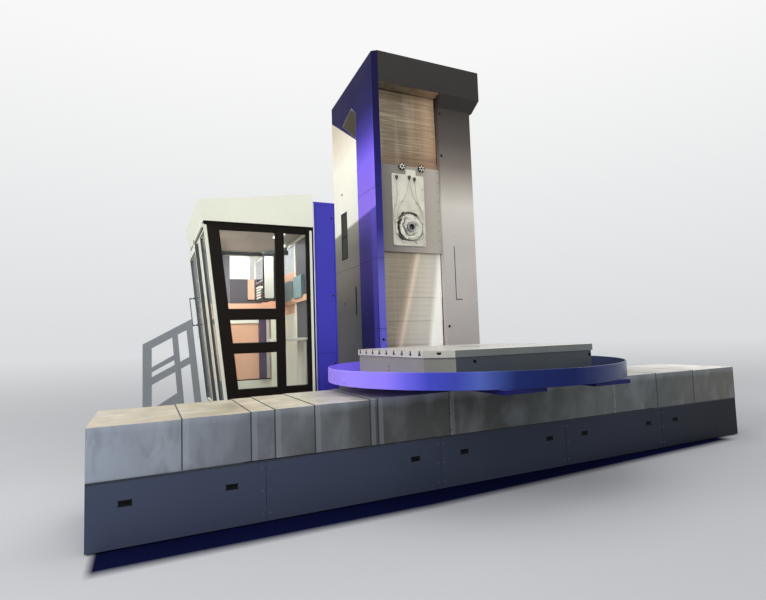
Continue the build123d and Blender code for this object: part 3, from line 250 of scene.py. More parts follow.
def painted(name, colour, roughness=0.35, lines=(), coat=0.03, gloss=0.1):
    """Sprayed sheet: faint orange peel, dust clouds, and dark seams at given heights."""
    paint = Finish(name)
    cloud = paint.noise(1.3, 4.0)
    body = colour(paint) if callable(colour) else colour
    body = paint.mix(cloud.over(0.3, 0.7, 0.08, 0.0), body, SOOT)
    speck = paint.noise(90.0, 2.0).over(0.62, 0.75)
    body = paint.mix(speck * 0.06, body, SOOT)
    for letter, place, width in lines:
        seam = paint.axis(letter).close_to(place, width)
        body = paint.mix(seam * 0.85, body, SOOT)
    peel = paint.noise(220.0, 1.0)
    paint.set(Base_Color=body, Roughness=cloud.over(0.3, 0.7, roughness - 0.06, roughness + 0.08))
    paint.set(Coat_Weight=coat, Coat_Roughness=0.25, Specular_IOR_Level=gloss)
    return paint.bump(peel, 0.0004, 0.2).material


# Colours of the covers: each stop is a place in metres and its screen colour; these tables hold
# painted light, shade and reflections, as noted at each
# Painted reflection of the room on the guard ring: pale violet at the left, navy further right
RING_TONES = (
    (-1.63, (158, 138, 255)), (-0.76, (148, 128, 254)), (-0.55, (104, 98, 226)),
    (-0.35, (62, 68, 184)), (-0.12, (56, 66, 162)), (0.07, (74, 92, 172)), (0.38, (16, 34, 94)),
    (0.9, (12, 26, 82)), (1.63, (72, 80, 114)),
)
# Painted light and shade on the column's front cover by height: a dark hood, a lit band, and
# painted shade below the tilted shade line near 3.38
STRIP_TONES = (
    (1.0, (40, 33, 116)), (1.75, (46, 38, 122)), (2.3, (74, 65, 140)), (2.8, (90, 78, 158)),
    (3.36, (96, 80, 172)), (3.4, (158, 126, 248)), (4.2, (134, 108, 238)), (4.4, (106, 86, 208)),
    (4.66, (66, 56, 146)), (5.0, (36, 32, 86)), (5.5, (28, 25, 64)),
)
# Painted shade on the front-facing bevel: darkest at the top, lighter low down
BEVEL_TONES = (
    (1.0, (100, 94, 200)), (2.3, (104, 102, 184)), (2.8, (78, 76, 150)), (3.1, (50, 46, 122)),
    (4.2, (32, 28, 88)), (5.0, (24, 21, 56)),
)
# The side cover is white; painted shade darkens it below the tilted shade line near 3.38 and
# towards its top corner
SIDE_TONES = (
    (1.0, (116, 110, 118)), (2.0, (98, 96, 94)), (2.35, (118, 112, 103)), (2.7, (143, 136, 123)),
    (3.36, (156, 152, 136)), (3.4, (252, 250, 235)), (4.5, (250, 247, 228)),
    (4.9, (232, 222, 200)), (5.4, (200, 192, 166)),
)
# Painted shade on the right cover: dark at the top, pale lower down
RIGHT_TONES = (
    (1.0, (186, 178, 173)), (2.9, (196, 190, 183)), (3.55, (212, 206, 195)),
    (3.9, (170, 163, 152)), (4.2, (124, 116, 108)), (4.6, (84, 78, 73)), (5.3, (42, 38, 35)),
)
# Painted reflections on the way covers' flanks along the bed: cool blue-grey at the left, darker
# and browner further right
FLANK_TONES = (
    (-3.9, (152, 160, 174)), (-3.3, (140, 148, 158)), (-2.9, (110, 115, 124)),
    (-2.3, (94, 97, 101)), (-1.6, (66, 67, 66)), (-0.8, (68, 68, 64)), (0.0, (62, 66, 64)),
    (1.1, (92, 98, 96)), (2.1, (80, 85, 85)), (3.9, (98, 95, 88)),
)
# Painted reflections on the way covers' tops: pale cream, brightest near the right end
TOP_TONES = (
    (-3.9, (204, 186, 160)), (-2.7, (184, 176, 150)), (-2.2, (218, 210, 182)),
    (-1.2, (226, 224, 208)), (0.4, (186, 190, 188)), (1.9, (168, 166, 158)),
    (2.6, (172, 170, 162)), (3.2, (238, 232, 224)), (3.9, (255, 252, 244)),
)
# Painted reflection on the upper slats: brown, turning peach towards the right
UPPER_SLAT_TONES = (
    (-0.31, (112, 99, 78)), (0.15, (106, 92, 70)), (0.4, (128, 105, 80)), (0.75, (188, 153, 122)),
)
# Below this height the upper slats are browner
SLAT_FOLD = 4.33
# The lower slats' tones, which are painted reflections: measured across at this height,
# leaning by this share, and their painted highlight's foot at the floor, its lean and its softness
SLAT_LEVEL = 2.1
SLAT_TILT = 0.244
SLAT_HIGHLIGHT = (0.32, 0.14, 0.05)
LOWER_SLAT_TONES = (
    (-0.55, (138, 128, 110)), (0.06, (148, 137, 118)), (0.125, (176, 160, 137)),
    (0.18, (226, 208, 182)), (0.25, (194, 186, 168)), (0.45, (208, 202, 187)),
    (0.9, (220, 214, 202)),
)
# Painted light on the headstock: darker at the left, lighter towards the right
HEAD_TONES = (
    (-0.31, (114, 112, 104)), (-0.1, (134, 130, 121)), (0.5, (176, 168, 157)),
    (0.76, (186, 178, 166)),
)
# Left ends of the way cover sections, each with a lighter band beside it
COVER_SEAMS = (-0.762, -1.541, -1.617, -2.144, -2.493, -2.692, -3.226)
MARGIN = 0.055
# The tops of the way covers have a pale rim, a painted highlight, from here outwards
COVER_RIM = 0.548
# The column's shade: level at this depth, and rising by this share towards the front
SHADE_LEVEL_Y = 2.47
SHADE_TILT = 0.09
# Middle of the spindle
NOSE_X = 0.18
NOSE_Z = 3.154
# The ring's middle, the level line across it that its painted reflection follows, and its lower
# edge, below which it has painted shade
RING_X = -0.096
RING_VIEW = (0.82, -0.57)
RING_FOOT = 1.028


def along(letter, stops):
    """A paint whose colour runs along an axis of the machine."""
    return lambda paint: paint.ramp(paint.axis(letter), stops)


def flank_height(paint):
    """Height on the column's flank, tilted as the shade there is."""
    return paint.axis("Z") + (paint.axis("Y") - SHADE_LEVEL_Y) * SHADE_TILT


# White side cover with painted shade below the shade line and at its top
def side_colour(paint):
    return paint.ramp(flank_height(paint), SIDE_TONES)


def cab_colour(cream):
    """Cream paint, and dark painted shade on the window edges that look along the cab's side."""
    def colour(paint):
        # Painted shade: the front-facing edges of the side wall's openings are dark
        seal = (paint.facing("Y") < -0.5) * (paint.axis("X") < -2.3) * (paint.axis("Y") > 1.83)
        return paint.mix(seal * (paint.axis("Z") < 3.0), cream, srgb(74, 78, 84))
    return colour


def ring_colour(paint):
    """Painted reflection of the room across the guard ring from left to right, and painted shade,
    deep blue, underneath.
    """
    across = (paint.axis("X") - RING_X) * RING_VIEW[0] + paint.axis("Y") * RING_VIEW[1]
    return paint.mix(paint.axis("Z") < RING_FOOT, paint.ramp(across, RING_TONES), srgb(22, 22, 84))


def strip_colour(paint):
    """The column's front cover: painted shade on a darker bevel, and a pale upright painted
    reflection low on the flank.
    """
    height = flank_height(paint)
    flank = paint.ramp(height, STRIP_TONES)
    # Painted reflection: a pale upright stripe low on the flank
    gleam = paint.axis("Y").close_to(1.9, 0.05) * (height < 3.38)
    flank = paint.mix(gleam * 0.5, flank, srgb(98, 86, 206))
    # Painted shade: the bevel facing the front takes darker tones
    bevel = paint.facing("Y") < -0.3
    return paint.mix(bevel, flank, paint.ramp(paint.axis("Z"), BEVEL_TONES))


def cover_sheet(name):
    """Satin way covers: cool flanks and pale tops in painted reflections, wiped clouds, lighter
    bands by the seams, painted highlights on the edges.
    """
    sheet = Finish(name, Metallic=0.3)
    place = sheet.axis("X")
    cloud = sheet.noise(2.0, 5.0, (1.0, 1.0, 0.6), roughness=0.6)
    patch = sheet.noise(3.4, 4.0, (1.0, 1.0, 0.7), distortion=0.3)
    wipe = sheet.noise(6.5, 5.0, (1.2, 1.0, 0.5), roughness=0.6, distortion=0.5)
    flank = sheet.ramp(place, FLANK_TONES)
    flank = sheet.mix(cloud.over(0.45, 0.7) * 0.3, flank, srgb(72, 74, 76))
    flank = sheet.mix(patch.over(0.48, 0.7) * 0.17, flank, srgb(172, 178, 186))
    flank = sheet.mix(wipe.over(0.47, 0.68) * 0.3, flank, srgb(56, 58, 60))
    # Painted highlight: the flanks pale towards their top edge
    edge = (sheet.axis("Z") + patch * 0.12).over(0.9, 1.02)
    flank = sheet.mix(edge * 0.3, flank, srgb(190, 198, 210))
    # A lighter band beside each seam
    margin = 0
    for seam in COVER_SEAMS:
        margin = (place > seam) * (place < seam + MARGIN) + margin
    flank = sheet.mix(margin * 0.16, flank, srgb(176, 182, 190))
    top = sheet.ramp(place, TOP_TONES)
    top = sheet.mix(cloud.over(0.3, 0.62, 0.0, 0.45), top, srgb(166, 156, 124))
    top = sheet.mix(wipe.over(0.45, 0.65) * 0.3, top, srgb(138, 136, 128))
    top = sheet.mix(patch.over(0.5, 0.7) * 0.3, top, srgb(250, 248, 236))
    # Painted highlight: a pale rim along the tops' outer edges
    rim = abs(sheet.axis("Y")) > COVER_RIM
    top = sheet.mix(rim * 0.6, top, srgb(250, 250, 246))
    # Painted light: tops and flanks take separate tones, the tops the paler
    up = sheet.facing("Z") > 0.5
    sheet.set(Base_Color=sheet.mix(up, flank, top))
    sheet.set(Roughness=cloud.over(0.3, 0.7, 0.5, 0.36) + up * -0.06)
    return sheet.bump(sheet.noise(7.0, 2.0, (1, 60, 60)), 0.0003, 0.15).material


def slat_sheet(name, tones, streaks, tilt=0.0, highlight=None, fold=None):
    """Folded slats: level streaks of brushing and painted highlights, painted reflections in tones
    that lean with the bow, and an upright painted highlight.
    """
    sheet = Finish(name, Metallic=0.3)
    place, height = sheet.axis("X"), sheet.axis("Z")
    streak = sheet.noise(8.0, 2.0, (0.22, 1, 6))
    fine = sheet.noise(30.0, 2.0, (0.1, 1, 4))
    column = sheet.noise(5.0, 2.0, (1.6, 1, 0.1))
    body = sheet.ramp(place - (height - SLAT_LEVEL) * tilt, tones)
    # Level streaks: brushing, with pale painted highlights and dark lines along the slats
    body = sheet.mix(streak.over(0.5, 0.7) * streaks, body, srgb(206, 190, 158))
    body = sheet.mix(streak.over(0.44, 0.28) * streaks * 0.6, body, srgb(70, 62, 48))
    body = sheet.mix(fine.over(0.5, 0.75) * 0.12, body, srgb(214, 206, 188))
    # Painted reflections: faint pale upright streaks
    body = sheet.mix(column.over(0.5, 0.75) * 0.15, body, srgb(226, 216, 190))
    if fold is not None:
        body = sheet.mix((height < fold) * 0.35, body, srgb(108, 76, 54))
    # Painted highlight: a bright upright band that also glows a little
    if highlight is not None:
        foot, slope, soft = highlight
        bright = (place - height * slope).over(foot - soft, foot + soft)
        bright = bright * column.over(0.3, 0.6, 0.8, 1.0)
        body = sheet.mix(bright, body, srgb(255, 253, 244))
        glow = sheet.mix(bright * bright, (0, 0, 0, 1), srgb(255, 252, 242))
        sheet.set(Emission_Color=glow, Emission_Strength=0.22)
    sheet.set(Base_Color=body, Roughness=fine.over(0.3, 0.7, 0.34, 0.46))
    return sheet.bump(fine, 0.0003, 0.15).material


def machined(name, colour, roughness=0.3, metallic=0.9, scale=40.0):
    """Turned or ground metal with fine tool marks and light stains."""
    metal = Finish(name, Metallic=metallic)
    marks = metal.noise(scale, 4.0, (1, 1, 6))
    stain = metal.noise(4.0, 4.0)
    body = metal.mix(stain.over(0.35, 0.7), tone(colour, 0.85), tone(colour, 1.1))
    metal.set(Base_Color=body, Roughness=marks.over(0.2, 0.8, roughness - 0.08, roughness + 0.1))
    return metal.bump(marks, 0.0003, 0.3).material


def swirled(name):
    """Turned steel of the nose, which mirrors dark things as an arc and a blot."""
    metal = Finish(name, Metallic=0.3)
    marks = metal.noise(60.0, 4.0, (1, 1, 6))
    wander = metal.noise(6.0, 3.0, distortion=0.6) * 0.16 - 0.08
    right, up = metal.axis("X") - NOSE_X, metal.axis("Z") - NOSE_Z
    square = right * right + up * up
    radius = square.maths("SQRT", square) + wander
    arc = radius.close_to(0.215, 0.018) * (right * 0.9 - up * 0.4).over(0.0, 0.1, 1.0, 0.25)
    inner = radius.close_to(0.135, 0.012) * (right + up * 0.6).over(-0.05, 0.08, 0.8, 0.1)
    blot = (radius + abs(up - right * 0.5) * 0.6).over(0.07, 0.17, 1.0, 0.0)
    dark = (arc + inner + blot).over(0.0, 1.0)
    body = metal.mix(dark, srgb(216, 213, 197), srgb(62, 60, 52))
    metal.set(Base_Color=body, Roughness=marks.over(0.2, 0.8, 0.35, 0.5))
    return metal.bump(marks, 0.0003, 0.2).material


def cast_paint(name, colour, roughness=0.55):
    """Thick machine paint on a casting, with its pebbled skin."""
    paint = Finish(name)
    pebble = paint.noise(60.0, 3.0)
    cloud = paint.noise(2.0, 4.0)
    body = paint.mix(cloud.over(0.3, 0.7), tone(colour, 0.88), tone(colour, 1.08))
    paint.set(Base_Color=body, Roughness=cloud.over(0.3, 0.7, roughness - 0.05, roughness + 0.1))
    return paint.bump(pebble, 0.0012, 0.5).material


def table_iron(name):
    """Ground top with crossed scraping marks, a pale rim, and painted sides below it, pale with
    painted light where they face left and dark with painted shade elsewhere.
    """
    iron = Finish(name)
    top = iron.facing("Z") > 0.9
    scrape = iron.noise(26.0, 2.0, (1, 0.2, 1)) * 0.5 + iron.noise(26.0, 2.0, (0.2, 1, 1)) * 0.5
    ground = iron.mix(scrape.over(0.35, 0.65), srgb(194, 192, 184), srgb(224, 221, 212))
    rim = iron.axis("Z").over(1.288, 1.291)
    # Painted light and shade: sides that face left are pale, the others dark slate
    left = iron.facing("X").over(-0.3, -0.9)
    cloud = iron.noise(3.0, 4.0)
    side = iron.mix(left, srgb(62, 69, 74), srgb(150, 148, 130))
    edge = iron.mix(left, srgb(112, 116, 112), srgb(208, 204, 186))
    side = iron.mix(rim, side, edge)
    side = iron.mix(cloud.over(0.3, 0.7, 0.16, 0.0), side, SOOT)
    iron.set(
        Base_Color=iron.mix(top, side, ground),
        Roughness=top * -0.12 + cloud.over(0.3, 0.7, 0.42, 0.52),
        Metallic=top * 0.3,
    )
    return iron.bump(scrape, 0.0004, 0.25).material


def clear_glass(name, tint, alpha=0.16):
    """Pane of safety glass, thin enough to be drawn without refraction."""
    pane = Finish(name, Base_Color=tint, Roughness=0.03, Metallic=0.0, Specular_IOR_Level=0.3)
    pane.material.surface_render_method = "BLENDED"
    edge = pane.node("ShaderNodeFresnel", {}, 1.5)
    return pane.set(Alpha=edge.over(0.04, 0.9, alpha, alpha * 0.5 + 0.25)).material


def rubber(name, colour, roughness=0.7):
    """Dull rubber with pale dust in its hollows."""
    dark = Finish(name, Specular_IOR_Level=0.15)
    dust = dark.noise(30.0, 4.0)
    dark.set(Base_Color=dark.mix(dust.over(0.45, 0.8) * 0.3, colour, tone(colour, 2.2)))
    dark.set(Roughness=dust.over(0.3, 0.7, roughness - 0.1, roughness + 0.1))
    return dark.bump(dust, 0.0004, 0.3).material


# A glowing face: for the lamps and the lit panel, and as painted light on the window blind
def glowing_face(name, colour, strength):
    glow = Finish(name, Base_Color=colour, Emission_Color=colour, Roughness=0.4)
    return glow.set(Emission_Strength=strength).material


# Finishes that need little more than a colour: the function that makes each, its name here,
# the material's name, the screen colour and the function's other values
PLAIN_FINISHES = (
    (machined, "steel_edge", "cover_edge_steel", (206, 206, 204), 0.34, 0.5),
    (machined, "face", "face_plate_steel", (212, 209, 192), 0.45, 0.05),
    (machined, "ground", "ground_steel", (190, 190, 192), 0.22, 1.0),
    (machined, "dark_metal", "blackened_steel", (34, 34, 36), 0.38, 0.8),
    (machined, "aluminium", "brushed_aluminium", (200, 202, 204), 0.36, 0.5),
    (cast_paint, "casting", "bed_casting_paint", (84, 88, 94)),
    (cast_paint, "column_iron", "column_casting_paint", (118, 118, 116)),
    (cast_paint, "motor", "motor_paint", (30, 30, 32)),
    (rubber, "rubber", "black_rubber", (24, 24, 25)),
    # Near-black: painted shade inside slots, vents and screw sockets; also the colour of the pull
    # cups, plugs and small screws
    (rubber, "hole", "slot_shadow", (8, 8, 9), 0.9),
    (rubber, "seam", "cover_wiper_rubber", (50, 54, 62), 0.6),
    (clear_glass, "glass", "cab_glass_pane", (150, 160, 158), 0.05),
    (clear_glass, "screen", "screen_glass", (20, 26, 34), 0.9),
    # The window blind glows: painted light
    (glowing_face, "blind", "window_blind_face", (250, 250, 248), 0.75),
    (glowing_face, "lamp", "cab_lamp_face", (250, 248, 238), 1.6),
    (glowing_face, "panel_lit", "lit_panel_face", (176, 198, 198), 0.35),
    (painted, "dull_screw", "panel_screw_paint", (98, 104, 120), 0.5),
    (painted, "band", "saddle_band_paint", (120, 121, 116), 0.45),
    (painted, "pipe_grey", "coolant_pipe_paint", (196, 192, 176), 0.5),
    (painted, "fitting", "coolant_fitting_paint", (92, 88, 78), 0.5),
    (painted, "star", "knob_mark_paint", (232, 230, 220), 0.4),
    (painted, "pendant", "pendant_case_paint", (44, 46, 44), 0.5),
    (painted, "red", "button_red", (200, 30, 22), 0.3),
    (painted, "lime", "key_cream", (238, 236, 220), 0.5),
    (painted, "beige", "cab_ceiling_board", (184, 170, 156), 0.6),
    (painted, "slate", "cab_header_board", (84, 82, 86), 0.6),
    (painted, "mauve", "cab_side_board", (112, 110, 116), 0.6),
    (painted, "khaki", "cab_lower_board", (138, 132, 116), 0.6),
    (painted, "steel_blue", "wall_cabinet_paint", (122, 144, 146), 0.5),
    (painted, "violet_dark", "column_screw_paint", (50, 40, 120), 0.4),
    (painted, "dark_pane", "inspection_pane", (36, 33, 31), 0.35),
    (painted, "brown", "vent_louvre_paint", (64, 57, 42), 0.5),
    (painted, "plum", "cable_duct_paint", (84, 66, 88), 0.5),
)
FINISHES = {}
# Heights of the joints between the column's cover sheets, and their width in the paint
COLUMN_SEAMS = (1.62, 2.66, 3.74)
SEAM_WIDTH = 0.0022


def make_finishes(colours):
    """Every finish of the machine, by the name that the operators use."""

    # Painted shade: the panels' slate darkens from the left end to the right end
    def panel_colour(paint):
        share = paint.axis("X").over(-3.9, 3.9)
        return paint.mix(share, colours.panel[:], colours.panel_shaded_end[:])

    seams = [("Z", height, SEAM_WIDTH) for height in COLUMN_SEAMS]
    bright = ("lower_slat_steel", LOWER_SLAT_TONES, 0.14, SLAT_TILT, SLAT_HIGHLIGHT)
    for make, key, name, colour, *values in PLAIN_FINISHES:
        FINISHES[key] = make(name, srgb(*colour), *values)
    FINISHES.update(
        panel=painted("slate_panel_paint", panel_colour, 0.42),
        violet=painted("column_violet_paint", strip_colour, 0.45, seams, 0.0, 0.03),
        steel=cover_sheet("way_cover_steel"),
        ring=painted("guard_ring_paint", ring_colour, 0.3, coat=0.12),
        cap=painted("cap_charcoal_paint", colours.charcoal[:], 0.45),
        white=painted("side_cover_paint", side_colour, 0.4, [("Z", 2.65, 0.002)]),
        grey=painted("right_cover_paint", along("Z", RIGHT_TONES), 0.42),
        slats_dark=slat_sheet("upper_slat_steel", UPPER_SLAT_TONES, 0.3, fold=SLAT_FOLD),
        slats_bright=slat_sheet(*bright),
        cream=painted("cab_cream_paint", cab_colour(colours.cream[:]), 0.38),
        black=painted("cab_frame_paint", colours.black[:], 0.5, coat=0.0, gloss=0.05),
        peach=painted("lining_board", colours.peach[:], 0.5),
        rail=painted("railing_grey_paint", colours.rail[:], 0.48),
        tower=painted("tower_blue_paint", colours.tower[:], 0.36, coat=0.1),
        headstock=painted("headstock_paint", along("X", HEAD_TONES), 0.42),
        nose=swirled("spindle_nose_steel"),
        table=table_iron("table_iron"),
    )


# Parts of the frame by their finish; the way covers are left to cover_finish
NODES_BY_FINISH = {
    "casting": "x_bed z_bed saddle column_saddle",
    "panel": "bed_panels",
    "dark_metal": "levelling_pads knob_left knob_right",
    "ground": "feed_screws y_screw table_bearing boring_spindle",
    "ring": "ring_guard",
    "motor": "x_drive z_drive spindle_motor",
    "table": "table",
    "column_iron": "column",
    "cap": "column_cap",
    "violet": "column_front_cover",
    "white": "column_side_cover",
    "grey": "column_right_cover",
    "headstock": "headstock",
    "face": "face_plate",
    "nose": "spindle_sleeve",
    "cream": "cab_shell cab_roof cab_door",
    "black": "cab_front",
    "glass": "cab_glass cab_door_glass",
    "peach": "cab_lining",
    "rail": "cab_platform",
    "tower": "service_tower",
    "pendant": "control_pendant",
    "red": "stop_button",
}
NODE_FINISH = {node: key for key, nodes in NODES_BY_FINISH.items() for node in nodes.split()}


def cover_finish(name):
    """Steel for the way covers, and for the slat covers by their place in the stack."""
    if name.startswith("slat_cover_upper"):
        return "slats_dark"
    return "slats_bright" if name.startswith("slat_cover_lower") else "steel"


class Piece:
    """A mesh under construction in the machine's frame, in metres."""

    def __init__(self, name):
        self.name = name
        self.bm = bmesh.new()

    def block(self, low, high, bevel=0.0):
        """A box between two corners, with its edges rounded."""
        size = Vector(high) - Vector(low)
        fit = Matrix.Translation((Vector(low) + Vector(high)) / 2) @ Matrix.Diagonal((*size, 1))
        made = bmesh.ops.create_cube(self.bm, size=1, matrix=fit)
        self.round_edges(made["verts"], bevel)
        return self

    def round_edges(self, verts, bevel):
        if bevel > 0:
            edges = list({edge for vert in verts for edge in vert.link_edges})
            shape = {"offset": bevel, "segments": 2, "profile": 0.5, "clamp_overlap": True}
            bmesh.ops.bevel(self.bm, geom=edges, affect="EDGES", **shape)

    def prism(self, outline, direction, thickness, bevel=0.0):
        """A flat outline, as points in space, given a thickness along a direction."""
        base = [self.bm.verts.new(point) for point in outline]
        face = self.bm.faces.new(base)
        far = bmesh.ops.extrude_face_region(self.bm, geom=[face])
        moved = [item for item in far["geom"] if isinstance(item, bmesh.types.BMVert)]
        bmesh.ops.translate(self.bm, verts=moved, vec=Vector(direction).normalized() * thickness)
        self.round_edges(base + moved, bevel)
        return self

    def turned(self, profile, centre, axis, steps=32, loop=False):
        """A profile of (radius, height) points turned about an axis; a loop makes a ring."""
        turn = Vector(axis).normalized().to_track_quat("Z", "Y").to_matrix().to_4x4()
        place = Matrix.Translation(centre) @ turn
        rings = []
        for radius, height in profile:
            ring = []
            for step in range(steps if radius > 0 else 1):
                angle = 2 * math.pi * step / steps
                spot = Vector((radius * math.cos(angle), radius * math.sin(angle), height))
                ring.append(self.bm.verts.new(place @ spot))
            rings.append(ring)
        for lower, upper in zip(rings, rings[1:] + rings[:1] if loop else rings[1:]):
            for step in range(steps):
                after = (step + 1) % steps
                corners = [lower[step % len(lower)], lower[after % len(lower)]]
                corners += [upper[after % len(upper)], upper[step % len(upper)]]
                unique = list(dict.fromkeys(corners))
                if len(unique) > 2:
                    self.bm.faces.new(unique)
        if not loop:
            for ring in (rings[0], rings[-1]):
                if len(ring) > 2:
                    self.bm.faces.new(ring)
        return self

    def finish(self, body, finish, slot, smooth=False):
        """Turns the mesh into an object with its finish, riding on a body; the slot is not used."""
        bmesh.ops.remove_doubles(self.bm, verts=self.bm.verts, dist=1e-6)
        bmesh.ops.recalc_face_normals(self.bm, faces=self.bm.faces)
        mesh = bpy.data.meshes.new(self.name)
        self.bm.to_mesh(mesh)
        self.bm.free()
        mesh.materials.append(FINISHES[finish])
        ride(self.name, mesh, body, smooth)


def ride(name, mesh, body, smooth):
    """An object with a mesh, riding on a body."""
    made = bpy.data.objects.new(name, mesh)
    bpy.context.scene.collection.objects.link(made)
    if smooth:
        smooth_by_angle(mesh)
    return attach(made, body)


def smooth_by_angle(mesh, angle=math.radians(35)):
    """Shades soft curves smooth and keeps the edges that turn sharply."""
    bm = bmesh.new()
    bm.from_mesh(mesh)
    for face in bm.faces:
        face.smooth = True
    for edge in bm.edges:
        if len(edge.link_faces) == 2 and edge.calc_face_angle(0) > angle:
            edge.smooth = False
    bm.to_mesh(mesh)
    bm.free()


def block_pieces(body, rows):
    """Pieces of plain blocks: name, finish, slot, then two corners and a bevel per block."""
    for name, finish, slot, *blocks in rows:
        piece = Piece(name)
        for *corners, bevel in blocks:
            piece.block(corners[:3], corners[3:], bevel)
        piece.finish(body, finish, slot)


def rectangle(centre, across, up, left, right, foot, head):
    """Corners of a rectangle, measured from a centre along two directions."""
    corners = ((left, foot), (right, foot), (right, head), (left, head))
    return [centre + across * a + up * b for a, b in corners]


def button(inner, height, outer, shoulder, foot):
    """Profile of a round button whose edge slopes from its face to its side."""
    return (0, height), (inner, height), (outer, shoulder), (outer, foot)


class Tree:
    """A Geometry Nodes tree under construction."""

    def __init__(self, name, sizes):
        self.tree = bpy.data.node_groups.new(name, "GeometryNodeTree")
        face = self.tree.interface
        face.new_socket("Geometry", in_out="INPUT", socket_type="NodeSocketGeometry")
        for label, value in sizes.items():
            socket = face.new_socket(label, in_out="INPUT", socket_type="NodeSocketFloat")
            socket.default_value = value
        face.new_socket("Geometry", in_out="OUTPUT", socket_type="NodeSocketGeometry")
        self.start = add_node(self.tree, "NodeGroupInput")
        self.end = add_node(self.tree, "NodeGroupOutput")

    def node(self, kind, *values, settings=None, out=0, **named):
        return add_node(self.tree, kind, settings, values, named).outputs[out]

    def times(self, label, factor):
        """One of the tree's sizes multiplied by a number."""
        product = {"operation": "MULTIPLY"}
        return self.node("ShaderNodeMath", self.start.outputs[label], factor, settings=product)

    def painted(self, geometry, finish):
        return self.node("GeometryNodeSetMaterial", Geometry=geometry, Material=FINISHES[finish])

    def cone(self, sides, top):
        """A blunt cone as wide as Radius and as high as Height, its top a share of its foot."""
        sizes = {"Radius_Top": self.times("Radius", top), "Depth": self.start.outputs["Height"]}
        foot = self.start.outputs["Radius"]
        return self.node(
            "GeometryNodeMeshCone", out="Mesh", Vertices=sides, Radius_Bottom=foot, **sizes
        )

    def close(self, geometry):
        real = self.node("GeometryNodeRealizeInstances", Geometry=geometry)
        self.tree.links.new(real, self.end.inputs[0])
        return self.tree

    def on_points(self, head):
        """Closes the tree with a head on every point, facing along its direction."""
        vector = {"data_type": "FLOAT_VECTOR"}
        facing = self.node("GeometryNodeInputNamedAttribute", settings=vector, Name="facing")
        turn = self.node(
            "FunctionNodeAlignRotationToVector", settings={"axis": "Z"}, Vector=facing
        )
        points = self.start.outputs["Geometry"]
        sockets = {"Points": points, "Instance": head, "Rotation": turn}
        return self.close(self.node("GeometryNodeInstanceOnPoints", **sockets))


def screw_tree(finish):
    """A domed head with a hexagon socket on every point."""
    tree = Tree(f"screws_{finish}", {"Radius": 0.009, "Height": 0.004})
    sizes = {"Radius": tree.times("Radius", 0.42), "Depth": tree.times("Height", 0.1)}
    # The socket is a near-black hexagon: painted shade for its hollow
    dimple = tree.node("GeometryNodeMeshCylinder", out="Mesh", Vertices=6, **sizes)
    lift = tree.node("ShaderNodeCombineXYZ", Z=tree.start.outputs["Height"])
    dimple = tree.node("GeometryNodeTransform", Geometry=dimple, Translation=lift)
    joined = add_node(tree.tree, "GeometryNodeJoinGeometry")
    for part in (tree.painted(tree.cone(16, 0.78), finish), tree.painted(dimple, "hole")):
        tree.tree.links.new(part, joined.inputs[0])
    return tree.on_points(joined.outputs[0])


def stud_tree(finish):
    """Low round studs pressed up in a tread."""
    tree = Tree(f"studs_{finish}", {"Radius": 0.013, "Height": 0.003})
    return tree.on_points(tree.painted(tree.cone(10, 0.6), finish))


def pipe_tree(finish):
    """Round pipe along every curve."""
    tree = Tree(f"pipe_{finish}", {"Radius": 0.005})
    radius, route = tree.start.outputs["Radius"], tree.start.outputs["Geometry"]
    ring = tree.node("GeometryNodeCurvePrimitiveCircle", Resolution=10, Radius=radius)
    tube = tree.node("GeometryNodeCurveToMesh", Curve=route, Profile_Curve=ring, Fill_Caps=True)
    return tree.close(tree.painted(tube, finish))


def run_tree(name, tree, data, body, **sizes):
    """Runs a tree on a mesh or curve, and keeps the result as a plain mesh on a body."""
    source = bpy.data.objects.new(f"{name}_source", data)
    bpy.context.scene.collection.objects.link(source)
    modifier = source.modifiers.new("pattern", "NODES")
    modifier.node_group = tree
    for item in tree.interface.items_tree:
        if item.item_type == "SOCKET" and item.in_out == "INPUT" and item.name in sizes:
            modifier[item.identifier] = sizes[item.name]
    bpy.context.view_layer.update()
    graph = bpy.context.evaluated_depsgraph_get()
    mesh = bpy.data.meshes.new_from_object(source.evaluated_get(graph), depsgraph=graph)
    bpy.data.objects.remove(source)
    mesh.name = name
    return ride(name, mesh, body, True)


def scatter(name, tree, spots, body, radius, height):
    """Runs a tree on spots, each a place with the direction that its head faces."""
    mesh = bpy.data.meshes.new(f"{name}_points")
    mesh.from_pydata([tuple(place) for place, _ in spots], [], [])
    facing = mesh.attributes.new("facing", "FLOAT_VECTOR", "POINT")
    for index, (_, direction) in enumerate(spots):
        facing.data[index].vector = direction
    run_tree(name, tree, mesh, body, Radius=radius, Height=height)


def screws(name, spots, body, radius, finish="steel_edge", height=0.004):
    """Socket screws on a body."""
    scatter(name, screw_tree(finish), spots, body, radius, height)


def grid(xs, ys, zs, facing):
    """Spots that face one way, at every crossing of places that are one number or several."""
    lines = [(part,) if isinstance(part, (int, float)) else part for part in (xs, ys, zs)]
    return [((x, y, z), facing) for x in lines[0] for y in lines[1] for z in lines[2]]


def spread(start, stop, count):
    """Evenly spaced numbers from start to stop, both included."""
    return [start + (stop - start) * step / (count - 1) for step in range(count)]


def pipes(name, routes, finish, body, radius):
    """Bent pipes, each along a smooth line through its points."""
    curve = bpy.data.curves.new(f"{name}_routes", "CURVE")
    curve.dimensions = "3D"
    curve.resolution_u = 8
    for route in routes:
        line = curve.splines.new("BEZIER")
        line.bezier_points.add(len(route) - 1)
        for point, place in zip(line.bezier_points, route):
            point.co = place
            point.handle_left_type = point.handle_right_type = "AUTO"
    run_tree(name, pipe_tree(finish), curve, body, Radius=radius)


